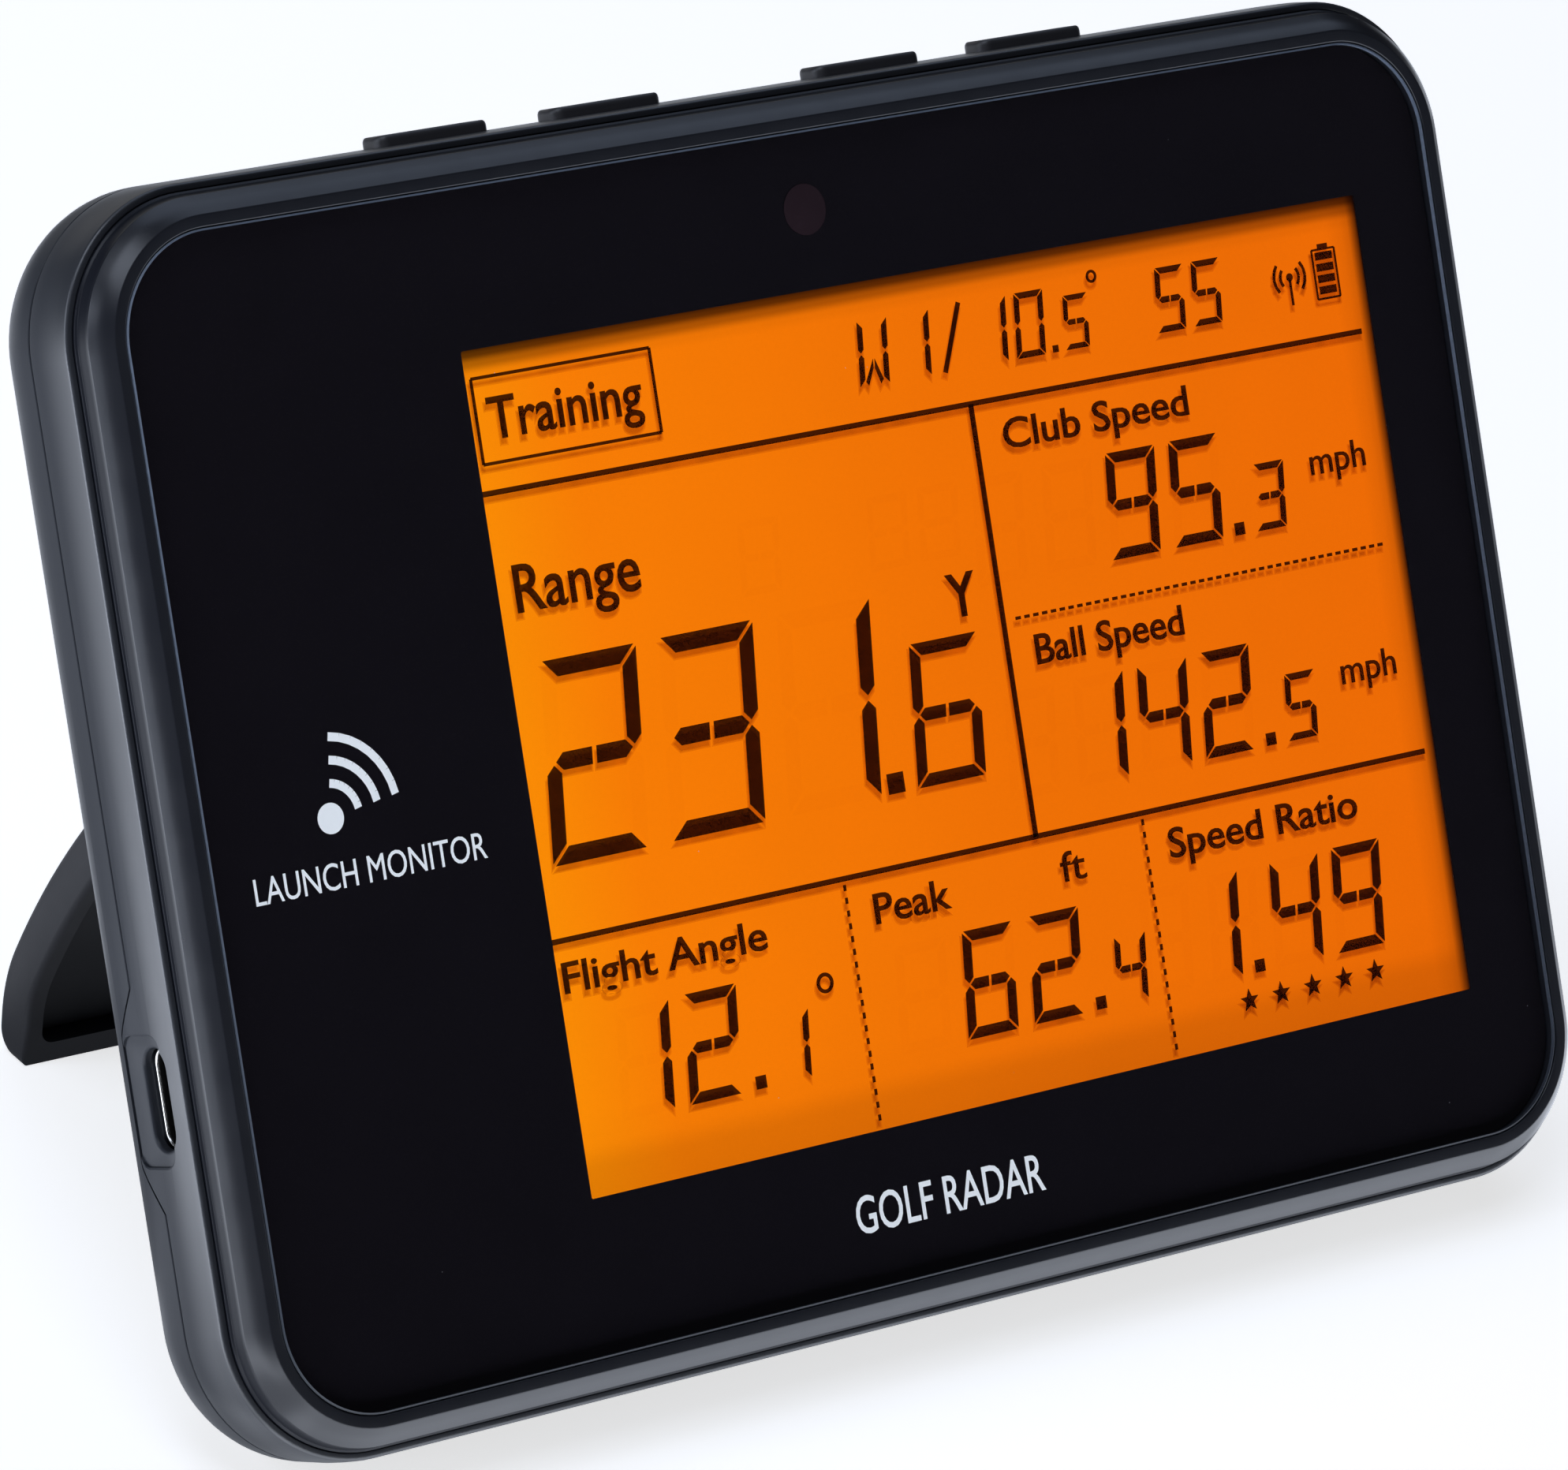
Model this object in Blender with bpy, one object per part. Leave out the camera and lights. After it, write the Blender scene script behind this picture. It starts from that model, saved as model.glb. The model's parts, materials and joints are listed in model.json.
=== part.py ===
"""Golf launch monitor: a tablet-shaped radar unit that leans back on a fold-out kickstand.

Everything is modelled in the device's own frame, in millimetres: x to the right, d for depth
behind the front glass, z up along the glass, with the origin at the centre of the glass. One
empty, device_frame, leans that frame back and stands it on the table plane, z = 0.
"""

import math

import bmesh
import bpy
from mathutils import Matrix, Vector

MM = 0.001

# Stance
LEAN_DEG = 29.0

# Front glass and the outline that every shell follows at some margin outside it
GLASS_W = 144.2
GLASS_H = 102.4
GLASS_R = 9.3
GLASS_T = 1.5
CORNER_STEPS = 10

# Body section: margins are outside the glass outline, depths behind its face
LEDGE_D = 3.3
BODY_M = 4.35
PARTING_D = 8.8
REAR_ARC_D = 10.0
REAR_ARC_R = 7.2
WALL = 2.0
SEAM = 0.15
ARC_STEPS = 7

# Display stack
LCD_X = (-43.0, 65.0)
LCD_Z = (-40.0, 40.5)
LCD_D = (2.4, 4.6)
LCD_CONTACTS = 2.4
GUIDE_D = (4.75, 7.1)
LAMP_Z = range(-33, 34, 11)
LAMP_LENGTH = 3.0
TRAY_D = (2.6, 8.3)
TRAY_WALL = 1.2
TRAY_POSTS = [(-30.0, 43.4), (50.0, 43.4), (-30.0, -43.0), (50.0, -43.0)]

# Main board and what sits on it
BOARD_D = (9.0, 10.2)
BOARD_MARGIN = -0.2
CORNER_POSTS = [(-70.0, 41.0), (70.0, 41.0), (-70.0, -41.0), (70.0, -41.0)]
POST_R = 2.6
SCREW_R = 0.95
SCREW_HEAD_R = 1.9
SCREW_HEAD_T = 1.1
SCREW_SLOT = (1.9, 0.45)
SCREW_SLOT_DEEP = 0.55
PILOT_R = 1.05
CLEARANCE_R = 1.15
SINK_R = 2.15
SINK_D = 13.4
SENSOR_X = 0.0
SENSOR_Z = 44.0
SENSOR_SIZE = (4.6, 3.8)
SENSOR_D = 3.4
LENS_R = 1.6
LENS_RISE = 1.4

# Radar, behind the blank part of the glass on the left
RADAR_X = (-66.5, -46.0)
RADAR_Z = (-24.0, 24.0)
RADAR_D = (2.6, 3.4)
BETWEEN_BOARDS = (RADAR_D[1] + 0.1, BOARD_D[0] - 0.1)

# Charging port on the left side
PORT_Z = -21.5
PORT_D = 7.35
PORT_SLOT = (8.9, 3.6)
PORT_PAD_Z = (-27.2, -16.0)
PORT_PAD_D = (6.0, 11.5)
PORT_TAB_TOE = 4.0
PORT_PAD_X = -76.25
USB_SHELL = (8.94, 3.2, 7.3)
USB_SHELL_T = 0.35
USB_MOUTH_X = -75.1
USB_TONGUE = (6.6, 0.7)

# Top buttons
BUTTONS = {
    "far_left": -33.3,
    "left": -14.5,
    "right": 14.6,
    "far_right": 33.5,
}
BUTTON_SIZE = (13.0, 3.4)
BUTTON_D = 8.2
BUTTON_TOP = 56.55
BUTTON_FLANGE_Z = 52.2
BUTTON_FLANGE_T = 0.75
BUTTON_FLANGE = 0.8
BUTTON_CORNER_R = 1.2
BUTTON_GAP = 0.25
POCKET_GAP = 0.3
SWITCH_D = 7.7
SWITCH_TOP = 50.6
SWITCH_SIZE = (6.0, 2.4)
PLUNGER_SIZE = (2.4, 1.0)
GUIDE_GAP = 0.2

# Kickstand: the outer curve is a chain of arcs (radius, turn in degrees) from the hinge down
STAND_W = 102.4
HINGE_D = 20.2
HINGE_Z = 13.2
BARREL_R = 2.8
STAND_HEADING = -27.0
STAND_ARCS = [(516.0, 4.0), (96.0, 11.0), (16.0, 30.0)]
STAND_DEPTH = 4.5
STAND_SKIN = 1.8
STAND_EDGE = 0.9
SOLE_CORNER_R = 2.2
SOLE_W = 2.6
KNUCKLE_X = (38.0, 44.0)
KNUCKLE_R = 2.7
PIN_R = 1.0
PIN_X = (35.2, 50.2)
RUNNING = 0.09
NOTCH_D = 13.5
NOTCH_Z = -44.0
NOTCH_GAP = 0.8

# Raised back that holds the battery and the speaker
BULGE_Z = (16.1, 46.5)
BULGE_D = 22.6
BULGE_R = 8.0
BULGE_EDGE = 2.2
SPEAKER_X = 33.0
SPEAKER_Z = 31.3
SPEAKER_R = 12.6
GRILLE = [(0.0, 1, 0.0), (4.2, 6, 0.0), (8.4, 12, 15.0)]
GRILLE_HOLE_R = 0.85
BATTERY_X = (-46.0, 14.0)
BATTERY_Z = (18.4, 43.4)
BATTERY_D = (12.1, 19.2)

MATERIALS = {
    "front_glass": ((0.012, 0.011, 0.014), 0.06, 0.0),
    "bezel_plastic": ((0.035, 0.041, 0.052), 0.34, 0.0),
    "body_plastic": ((0.030, 0.033, 0.038), 0.46, 0.0),
    "stand_plastic": ((0.022, 0.022, 0.024), 0.55, 0.0),
    "button_rubber": ((0.012, 0.012, 0.013), 0.72, 0.0),
    "lcd_glass": ((0.90, 0.26, 0.01), 0.18, 0.0),
    "light_guide": ((0.95, 0.93, 0.88), 0.12, 0.0),
    "white_plastic": ((0.80, 0.80, 0.78), 0.50, 0.0),
    "circuit_board": ((0.010, 0.110, 0.045), 0.38, 0.0),
    "radar_laminate": ((0.62, 0.55, 0.38), 0.45, 0.0),
    "chip_package": ((0.018, 0.018, 0.020), 0.48, 0.0),
    "shield_steel": ((0.62, 0.62, 0.60), 0.28, 1.0),
    "port_steel": ((0.72, 0.72, 0.71), 0.20, 1.0),
    "screw_steel": ((0.10, 0.10, 0.11), 0.32, 1.0),
    "battery_wrap": ((0.10, 0.12, 0.16), 0.36, 0.0),
    "foam": ((0.020, 0.020, 0.022), 0.95, 0.0),
    "adhesive": ((0.015, 0.015, 0.016), 0.65, 0.0),
    "flex_film": ((0.55, 0.22, 0.03), 0.30, 0.0),
    "wire_red": ((0.50, 0.02, 0.02), 0.42, 0.0),
    "wire_black": ((0.015, 0.015, 0.015), 0.42, 0.0),
    "speaker_cone": ((0.030, 0.030, 0.032), 0.70, 0.0),
    "ir_resin": ((0.030, 0.012, 0.022), 0.15, 0.0),
}


# ---------------------------------------------------------------- scene helpers


def clear_scene():
    for obj in list(bpy.data.objects):
        bpy.data.objects.remove(obj, do_unlink=True)


def make_materials():
    made = {}
    for name, (colour, roughness, metallic) in MATERIALS.items():
        material = bpy.data.materials.new(name)
        material.use_nodes = True
        shader = material.node_tree.nodes["Principled BSDF"]
        shader.inputs["Base Color"].default_value = (*colour, 1.0)
        shader.inputs["Roughness"].default_value = roughness
        shader.inputs["Metallic"].default_value = metallic
        made[name] = material
    return made


def solid(name, bm):
    """An object from a closed bmesh in device millimetres, its faces turned outwards."""
    bmesh.ops.recalc_face_normals(bm, faces=bm.faces)
    bmesh.ops.scale(bm, vec=(MM, MM, MM), verts=bm.verts)
    mesh = bpy.data.meshes.new(name)
    bm.to_mesh(mesh)
    bm.free()
    obj = bpy.data.objects.new(name, mesh)
    bpy.context.scene.collection.objects.link(obj)
    return obj


def combine(base, tools, operation):
    """Booleans the tools into base one after another, and removes them."""
    for tool in tools:
        modifier = base.modifiers.new(operation, "BOOLEAN")
        modifier.operation = operation
        modifier.solver = "EXACT"
        modifier.object = tool
        graph = bpy.context.evaluated_depsgraph_get()
        result = bpy.data.meshes.new_from_object(base.evaluated_get(graph))
        base.modifiers.clear()
        spent = [base.data, tool.data]
        base.data = result
        bpy.data.objects.remove(tool, do_unlink=True)
        for mesh in spent:
            bpy.data.meshes.remove(mesh)
    return base


def join(base, *tools):
    return combine(base, tools, "UNION")


def cut(base, *tools):
    return combine(base, tools, "DIFFERENCE")


def place(obj, material, frame, origin=(0.0, 0.0, 0.0), smooth_deg=28.0):
    """Parents a finished solid to the device, with its own origin at a point of the device."""
    at = Vector(origin) * MM
    obj.data.transform(Matrix.Translation(-at))
    obj.location = at
    obj.parent = frame
    obj.data.materials.clear()
    obj.data.materials.append(material)
    obj.data.shade_smooth()
    obj.data.set_sharp_from_angle(angle=math.radians(smooth_deg))
    return obj


# ---------------------------------------------------------------- shape helpers


def outline(width, height, radius, steps=CORNER_STEPS):
    """A rounded rectangle as (x, z) points, anticlockwise from its right side."""
    points = []
    for quarter in range(4):
        turn = math.radians(90 * quarter)
        cx = (width / 2 - radius) * (1 if quarter in (0, 3) else -1)
        cz = (height / 2 - radius) * (1 if quarter in (0, 1) else -1)
        for step in range(steps + 1):
            angle = turn + math.radians(90.0 * step / steps)
            points.append((cx + radius * math.cos(angle), cz + radius * math.sin(angle)))
    return points


def ring(margin, depth):
    """The glass outline grown by margin, at a depth."""
    points = outline(GLASS_W + 2 * margin, GLASS_H + 2 * margin, GLASS_R + margin)
    return [Vector((x, depth, z)) for x, z in points]


def flat_ring(x_range, z_range, radius, depth, steps=3):
    """A rounded rectangle in the plane of the glass, given by its x and z limits."""
    cx, cz = sum(x_range) / 2, sum(z_range) / 2
    points = outline(x_range[1] - x_range[0], z_range[1] - z_range[0], radius, steps)
    return [Vector((cx + x, depth, cz + z)) for x, z in points]


def loft(rings, closed=False):
    """Skins rings of equal length; caps the ends, or joins the last ring to the first."""
    bm = bmesh.new()
    rows = [[bm.verts.new(point) for point in points] for points in rings]
    pairs = list(zip(rows, rows[1:]))
    if closed:
        pairs.append((rows[-1], rows[0]))
    for lower, upper in pairs:
        for i in range(len(lower)):
            j = (i + 1) % len(lower)
            bm.faces.new((lower[i], lower[j], upper[j], upper[i]))
    if not closed:
        bm.faces.new(rows[0])
        bm.faces.new(rows[-1])
    return bm


def box(x_range, d_range, z_range):
    left, right = x_range
    low, high = z_range
    corners = [(left, low), (right, low), (right, high), (left, high)]
    return loft([[Vector((x, d, z)) for x, z in corners] for d in d_range])


def around(centre, size):
    """The two limits of a span of a size round its centre."""
    return (centre - size / 2, centre + size / 2)


def slab(x_range, d_range, z_range, radius, steps=3):
    """A plate parallel to the glass with rounded corners."""
    return loft([flat_ring(x_range, z_range, radius, d, steps) for d in d_range])


def circle(u, v, radius, steps=24):
    """A circle as points of a plane."""
    angles = [2 * math.pi * i / steps for i in range(steps)]
    return [(u + radius * math.cos(a), v + radius * math.sin(a)) for a in angles]


def round_ring(centre, radius, depth, steps=16):
    """A circle parallel to the glass, round an (x, z) centre."""
    return [Vector((x, depth, z)) for x, z in circle(*centre, radius, steps)]


def cylinder(centre, radius, d_range, steps=16):
    """A round bar along the depth."""
    return loft([round_ring(centre, radius, depth, steps) for depth in d_range])


def bar_along_x(section, x_range):
    """Extrudes a closed (d, z) section along x."""
    return loft([[Vector((x, d, z)) for d, z in section] for x in x_range])


def arc_rings(margin, radius, start_deg, end_deg):
    """Rings round the rear corner arc, whose centre line is margin outside the glass."""
    rings = []
    for step in range(ARC_STEPS + 1):
        angle = math.radians(start_deg + (end_deg - start_deg) * step / ARC_STEPS)
        rings.append(ring(margin + radius * math.cos(angle), REAR_ARC_D + radius * math.sin(angle)))
    return rings


def tube(points, radius, steps=8):
    """A round wire through points, its rings square to the path."""
    rings = []
    for i, point in enumerate(points):
        ahead = points[min(i + 1, len(points) - 1)]
        behind = points[max(i - 1, 0)]
        along = (ahead - behind).normalized()
        side = along.cross(Vector((0, 1, 0))).normalized()
        up = side.cross(along)
        rings.append(
            [
                point + radius * (math.cos(a) * side + math.sin(a) * up)
                for a in (2 * math.pi * k / steps for k in range(steps))
            ]
        )
    return loft(rings)


def bend(start, control, end, steps=10):
    """Points of a quadratic curve."""
    start, control, end = Vector(start), Vector(control), Vector(end)
    share = [i / steps for i in range(steps + 1)]
    return [start * (1 - t) ** 2 + control * 2 * t * (1 - t) + end * t**2 for t in share]


# ---------------------------------------------------------------- glass, bezel and shells


def display_window():
    chamfer = 0.2
    rings = [ring(-chamfer, 0.0), ring(0.0, chamfer), ring(0.0, GLASS_T)]
    return solid("display_window", loft(rings))


def window_adhesive():
    section = [(-0.3, 1.56), (-2.8, 1.56), (-2.8, 1.70), (-0.3, 1.70)]
    return solid("window_adhesive", loft([ring(m, d) for m, d in section], closed=True))


def front_bezel():
    """A frame round the glass: flat land, sloping bevel, short side, and a seat for the glass."""
    seat_d, inner_m, foot_d = 1.76, -3.2, 4.6
    land = [(0.15, 0.15), (0.30, 0.0), (1.15, 0.0)]
    bevel = [(1.27, 0.04), (2.13, 0.83), (2.90, 1.66), (3.00, 1.84), (3.25, LEDGE_D)]
    seat = [(3.25, foot_d), (inner_m, foot_d), (inner_m, seat_d), (0.15, seat_d)]
    return solid("front_bezel", loft([ring(m, d) for m, d in land + bevel + seat], closed=True))


def body_envelope(margin_gap=0.0):
    """The outer form of the whole body from the ledge to the back."""
    rings = [ring(BODY_M - margin_gap, LEDGE_D)]
    rings += arc_rings(BODY_M - REAR_ARC_R, REAR_ARC_R - margin_gap, 0, 90)
    return solid("envelope", loft(rings))


def port_tab(gap):
    """The tongue of the housing that carries the port, tapering at both ends, grown by gap."""
    low, high = PORT_PAD_Z
    rear = PORT_PAD_D[1] + gap
    front = PARTING_D - SEAM / 2 - 0.6
    toe = PORT_TAB_TOE * (rear - front) / (PORT_PAD_D[1] - PARTING_D) + gap
    section = [(front, low - toe), (rear, low - gap), (rear, high + gap), (front, high + toe)]
    return bar_along_x(section, (-BODY_M - GLASS_W / 2 - 2, -GLASS_W / 2 - 1.3 - gap))


def port_slot():
    """The stadium-shaped mouth of the port, as a cutter along x."""
    height, width = PORT_SLOT
    radius = width / 2 - 0.01
    section = [(PORT_D + x, PORT_Z + z) for x, z in outline(width, height, radius, 6)]
    return solid("port_slot", bar_along_x(section, (-80.0, -72.0)))


def port_pad():
    """The flat pad round the port: everything outside its plane is cut away."""
    depth = PORT_PAD_D[1] - PORT_PAD_D[0]
    height = PORT_PAD_Z[1] - PORT_PAD_Z[0]
    d, z = sum(PORT_PAD_D) / 2, sum(PORT_PAD_Z) / 2
    section = [(d + x, z + y) for x, y in outline(depth, height, 1.3, 4)]
    return solid("port_pad", bar_along_x(section, (-80.0, PORT_PAD_X)))


def button_cutters():
    """For each button a slot through the wall and a wider pocket behind it for its flange."""
    cutters = []
    width, deep = BUTTON_SIZE
    slot_d = around(BUTTON_D, deep + 2 * BUTTON_GAP)
    pocket_d = around(BUTTON_D, deep + BUTTON_FLANGE + 2 * POCKET_GAP)
    pocket_z = (49.5, BUTTON_FLANGE_Z + BUTTON_FLANGE_T + POCKET_GAP)
    for x in BUTTONS.values():
        slot = box(around(x, width + 2 * BUTTON_GAP), slot_d, (50.0, 58.0))
        pocket = box(around(x, width + 2 * BUTTON_FLANGE + 2 * POCKET_GAP), pocket_d, pocket_z)
        cutters += [solid("slot", slot), solid("pocket", pocket)]
    return cutters


def front_housing():
    """The visible side wall, with a shelf that carries the bezel and posts for the corner screws."""
    wall = [(3.42, 3.42), (3.54, LEDGE_D), (3.98, LEDGE_D), (4.20, 3.52), (4.30, 5.0), (BODY_M, 7.0)]
    rear = [(BODY_M, PARTING_D - SEAM / 2), (2.25, PARTING_D - SEAM / 2), (2.25, 6.25)]
    shelf = [(-5.0, 6.25), (-5.0, 4.75), (3.42, 4.75)]
    section = wall + rear + shelf
    housing = solid("front_housing", loft([ring(m, d) for m, d in section], closed=True))
    join(housing, *[solid("post", cylinder(at, POST_R, (6.0, 8.85))) for at in CORNER_POSTS])
    tab = combine(solid("tab", port_tab(0.0)), [body_envelope()], "INTERSECT")
    join(housing, tab)
    pocket = box((-75.3, -66.0), (5.5, 9.1), (PORT_Z - 4.7, PORT_Z + 4.7))
    cut(housing, port_pad(), port_slot(), solid("pocket", pocket), *button_cutters())
    cut(housing, *[solid("pilot", cylinder(at, PILOT_R, (5.6, 9.5), 12)) for at in CORNER_POSTS])
    return housing


def bulge(inset, d_range, edge):
    """The raised back, shrunk by inset, with a soft edge at its top."""
    half = STAND_W / 2 - inset
    z_low, z_high = BULGE_Z[0] + inset, BULGE_Z[1] - inset
    rings = []
    for step in range(4):
        angle = math.radians(30 * step)
        back = edge * (1 - math.cos(angle))
        depth = d_range[1] - edge * (1 - math.sin(angle))
        across, up = (-half + back, half - back), (z_low + back * 0.4, z_high - back)
        rings.append(flat_ring(across, up, BULGE_R - inset - back, depth, 5))
    foot = flat_ring((-half, half), (z_low, z_high), BULGE_R - inset, d_range[0], 5)
    return solid("bulge", loft([foot] + rings))


def grille_cutters():
    """Sound holes over the speaker: a centre hole and two rings round it."""
    cutters = []
    for radius, count, offset in GRILLE:
        for i in range(count):
            angle = math.radians(offset + 360.0 * i / count)
            at = (SPEAKER_X + radius * math.cos(angle), SPEAKER_Z + radius * math.sin(angle))
            cutters.append(solid("hole", cylinder(at, GRILLE_HOLE_R, (19.5, 24.0), 8)))
    return cutters


def foot_notch():
    """The hollow across the lower rear edge that takes the folded stand's foot."""
    floor, lip, rear, below = NOTCH_D, NOTCH_Z, NOTCH_D + 6.0, -60.0
    ramp = [(floor, lip - 3.2), (floor + 1.6, lip - 0.8), (rear, lip + 0.6)]
    section = [(floor, below)] + ramp + [(rear, below)]
    half = STAND_W / 2 + NOTCH_GAP
    return solid("notch", bar_along_x(section, (-half, half)))


def knuckles():
    """Two lugs on the back that carry the hinge pins."""
    made = []
    for side in (-1, 1):
        x_range = (side * (KNUCKLE_X[0] + 0.3), side * (KNUCKLE_X[1] - 0.3))
        foot = box(x_range, (16.2, HINGE_D), (HINGE_Z - KNUCKLE_R, HINGE_Z + KNUCKLE_R))
        eye = bar_along_x(circle(HINGE_D, HINGE_Z, KNUCKLE_R + 0.03), x_range)
        made += [solid("foot", foot), solid("eye", eye)]
    return made


def rear_cover():
    """The back shell: locating lip, rounded edge, raised back, foot notch, hinge lugs, posts."""
    edge_m = BODY_M - REAR_ARC_R
    start_d = PARTING_D + SEAM / 2
    inner = arc_rings(edge_m, REAR_ARC_R - WALL, 90, 0)
    lip = [(1.3, 9.6), (1.3, 7.5), (2.05, 7.5), (2.05, start_d), (BODY_M, start_d)]
    outer = arc_rings(edge_m, REAR_ARC_R, 0, 90)
    cover = solid("rear_cover", loft(inner + [ring(m, d) for m, d in lip] + outer))
    lining = box(around(0.0, STAND_W + 2 * (NOTCH_GAP + 1.8)), (11.7, 15.6), (-54.5, -41.6))
    lining = solid("lining", lining)
    combine(lining, [body_envelope(0.6)], "INTERSECT")
    posts = [solid("post", cylinder(at, POST_R, (10.4, 15.6))) for at in CORNER_POSTS]
    join(cover, lining, bulge(0.0, (16.0, BULGE_D), BULGE_EDGE), *posts)
    cut(cover, bulge(WALL, (14.0, BULGE_D - WALL), 0.8), foot_notch())
    join(cover, *knuckles())
    bore = circle(HINGE_D, HINGE_Z, PIN_R + RUNNING)
    for side in (-1, 1):
        cut(cover, solid("bore", bar_along_x(bore, (side * 36.0, side * 46.0))))
    cut(cover, solid("spring_pocket", box((-6.5, 6.5), (16.0, 18.0), (7.0, 15.6))))
    lip_gap = box((-74.3, -72.9), (7.0, 9.8), (PORT_PAD_Z[0] - 5.6, PORT_PAD_Z[1] + 5.6))
    cut(cover, solid("port_gap", port_tab(SEAM)), solid("lip_gap", lip_gap))
    cut(cover, *button_cutters(), *grille_cutters())
    for at in CORNER_POSTS:
        cut(cover, solid("clear", cylinder(at, CLEARANCE_R, (9.0, 19.0), 12)))
        cut(cover, solid("sink", cylinder(at, SINK_R, (SINK_D, 19.0))))
    return cover


# ---------------------------------------------------------------- display and radar


def lcd_panel():
    """Two sheets of glass, the front one shorter so that the contacts below it are bare."""
    step_d = (LCD_D[0] + LCD_D[1]) / 2
    front_x = (LCD_X[0], LCD_X[1] - 0.01)
    front_z = (LCD_Z[0] + LCD_CONTACTS, LCD_Z[1] - 0.01)
    rear = slab(LCD_X, (step_d, LCD_D[1]), LCD_Z, 0.4, 1)
    front = slab(front_x, (LCD_D[0], step_d + 0.2), front_z, 0.4, 1)
    return join(solid("lcd_panel", rear), solid("front_sheet", front))


def light_guide():
    x_range, z_range = (LCD_X[0] + 0.5, LCD_X[1] - 2.2), (LCD_Z[0] + 0.5, LCD_Z[1] - 0.5)
    return solid("light_guide", slab(x_range, GUIDE_D, z_range, 0.4, 1))


def backlight_strip():
    """The narrow board of lamps that lights the guide from its right edge."""
    board = box((LCD_X[1] - 1.2, LCD_X[1] - 0.4), GUIDE_D, (-38.0, 38.0))
    lamp_x = (LCD_X[1] - 1.8, LCD_X[1] - 1.1)
    lamps = [box(lamp_x, (5.2, 6.6), around(z, LAMP_LENGTH)) for z in LAMP_Z]
    return join(solid("backlight_strip", board), *[solid("lamp", lamp) for lamp in lamps])


def lcd_tray():
    """The white tray that holds panel and guide, with four screw posts and a slot for the flex."""
    gap = 0.2
    inner_x = (LCD_X[0] - gap, LCD_X[1] + gap)
    inner_z = (LCD_Z[0] - gap, LCD_Z[1] + gap)
    outer_x = (inner_x[0] - TRAY_WALL, inner_x[1] + TRAY_WALL)
    outer_z = (inner_z[0] - TRAY_WALL, inner_z[1] + TRAY_WALL)
    tray = solid("lcd_tray", slab(outer_x, TRAY_D, outer_z, 1.2))
    join(tray, *[solid("post", cylinder(at, 2.2, (6.4, 8.85))) for at in TRAY_POSTS])
    cut(tray, solid("hollow", slab(inner_x, (0.0, 7.3), inner_z, 0.5, 1)))
    cut(tray, solid("flex_slot", box((-2.3, 22.3), (0.0, 4.0), (-44.0, -38.0))))
    cut(tray, *[solid("pilot", cylinder(at, PILOT_R, (6.9, 10.0), 12)) for at in TRAY_POSTS])
    return tray


def lcd_flex():
    """The film from the panel's contacts round the tray to the board."""
    path = [(3.30, -38.2), (3.30, -42.2), (3.9, -43.0), (5.0, -43.3), (8.9, -43.3)]
    return solid("lcd_flex", bar_along_x(strip_section(path, 0.14), (-1.8, 21.8)))


def strip_section(path, thickness):
    """A closed section of even thickness on the left of an open path of (d, z) points."""
    offset = []
    for i, (d, z) in enumerate(path):
        ahead = Vector(path[min(i + 1, len(path) - 1)])
        behind = Vector(path[max(i - 1, 0)])
        along = (ahead - behind).normalized()
        offset.append((d - along.y * thickness, z + along.x * thickness))
    return path + offset[::-1]


def radar_board():
    return solid("radar_board", slab(RADAR_X, RADAR_D, RADAR_Z, 1.0))


def radar_shield():
    """A folded can over the radar's electronics, open towards its board."""
    x_range, z_range = (RADAR_X[0] + 1.5, RADAR_X[1] - 1.5), (-19.5, 19.0)
    top, sheet = 6.4, 0.3
    inner_x = (x_range[0] + sheet, x_range[1] - sheet)
    inner_z = (z_range[0] + sheet, z_range[1] - sheet)
    shield = solid("radar_shield", slab(x_range, (RADAR_D[1] + 0.12, top), z_range, 0.8))
    return cut(shield, solid("hollow", slab(inner_x, (0.0, top - sheet), inner_z, 0.5)))


def radar_header():
    """The pin block between the radar board and the main board."""
    x_range = around(sum(RADAR_X) / 2, 12.0)
    return solid("radar_header", box(x_range, BETWEEN_BOARDS, (20.3, 22.8)))


def radar_spacer(name, x):
    return solid(name, cylinder((x, -22.0), 1.6, BETWEEN_BOARDS, 12))


# ---------------------------------------------------------------- boards and electronics


def main_board():
    board = solid("main_board", loft([ring(BOARD_MARGIN, d) for d in BOARD_D]))
    cut(board, *[solid("hole", cylinder(at, 1.4, (8.0, 11.0), 12)) for at in CORNER_POSTS])
    cut(board, *[solid("hole", cylinder(at, 1.2, (8.0, 11.0), 12)) for at in TRAY_POSTS])
    return board


def on_board(name, x, z, width, height, thickness, chamfer=0.15):
    """A package on the rear side of the main board, its top edge chamfered."""
    seat = BOARD_D[1] + 0.08
    steps = [(seat, 0.0), (seat + thickness - chamfer, 0.0), (seat + thickness, chamfer)]
    rings = [
        flat_ring(around(x, width - 2 * inset), around(z, height - 2 * inset), 0.3, depth, 1)
        for depth, inset in steps
    ]
    return solid(name, loft(rings))


def ir_receiver():
    """The remote-control receiver: a block with a domed lens just behind the glass."""
    centre = (SENSOR_X, SENSOR_Z)
    d_range = (SENSOR_D, BOARD_D[0] - 0.1)
    body = box(around(SENSOR_X, SENSOR_SIZE[0]), d_range, around(SENSOR_Z, SENSOR_SIZE[1]))
    rings = [round_ring(centre, LENS_R, SENSOR_D + 0.6)]
    for step in range(5):
        angle = math.radians(18.0 * step)
        depth = SENSOR_D - LENS_RISE * math.sin(angle)
        rings.append(round_ring(centre, LENS_R * math.cos(angle), depth))
    return join(solid("ir_receiver", body), solid("lens", loft(rings)))


def stadium(width, height, x):
    """A stadium-shaped ring in the plane of the left side, round the port's axis."""
    points = outline(width, height, width / 2 - 0.01, 6)
    return [Vector((x, PORT_D + a, PORT_Z + b)) for a, b in points]


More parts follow.
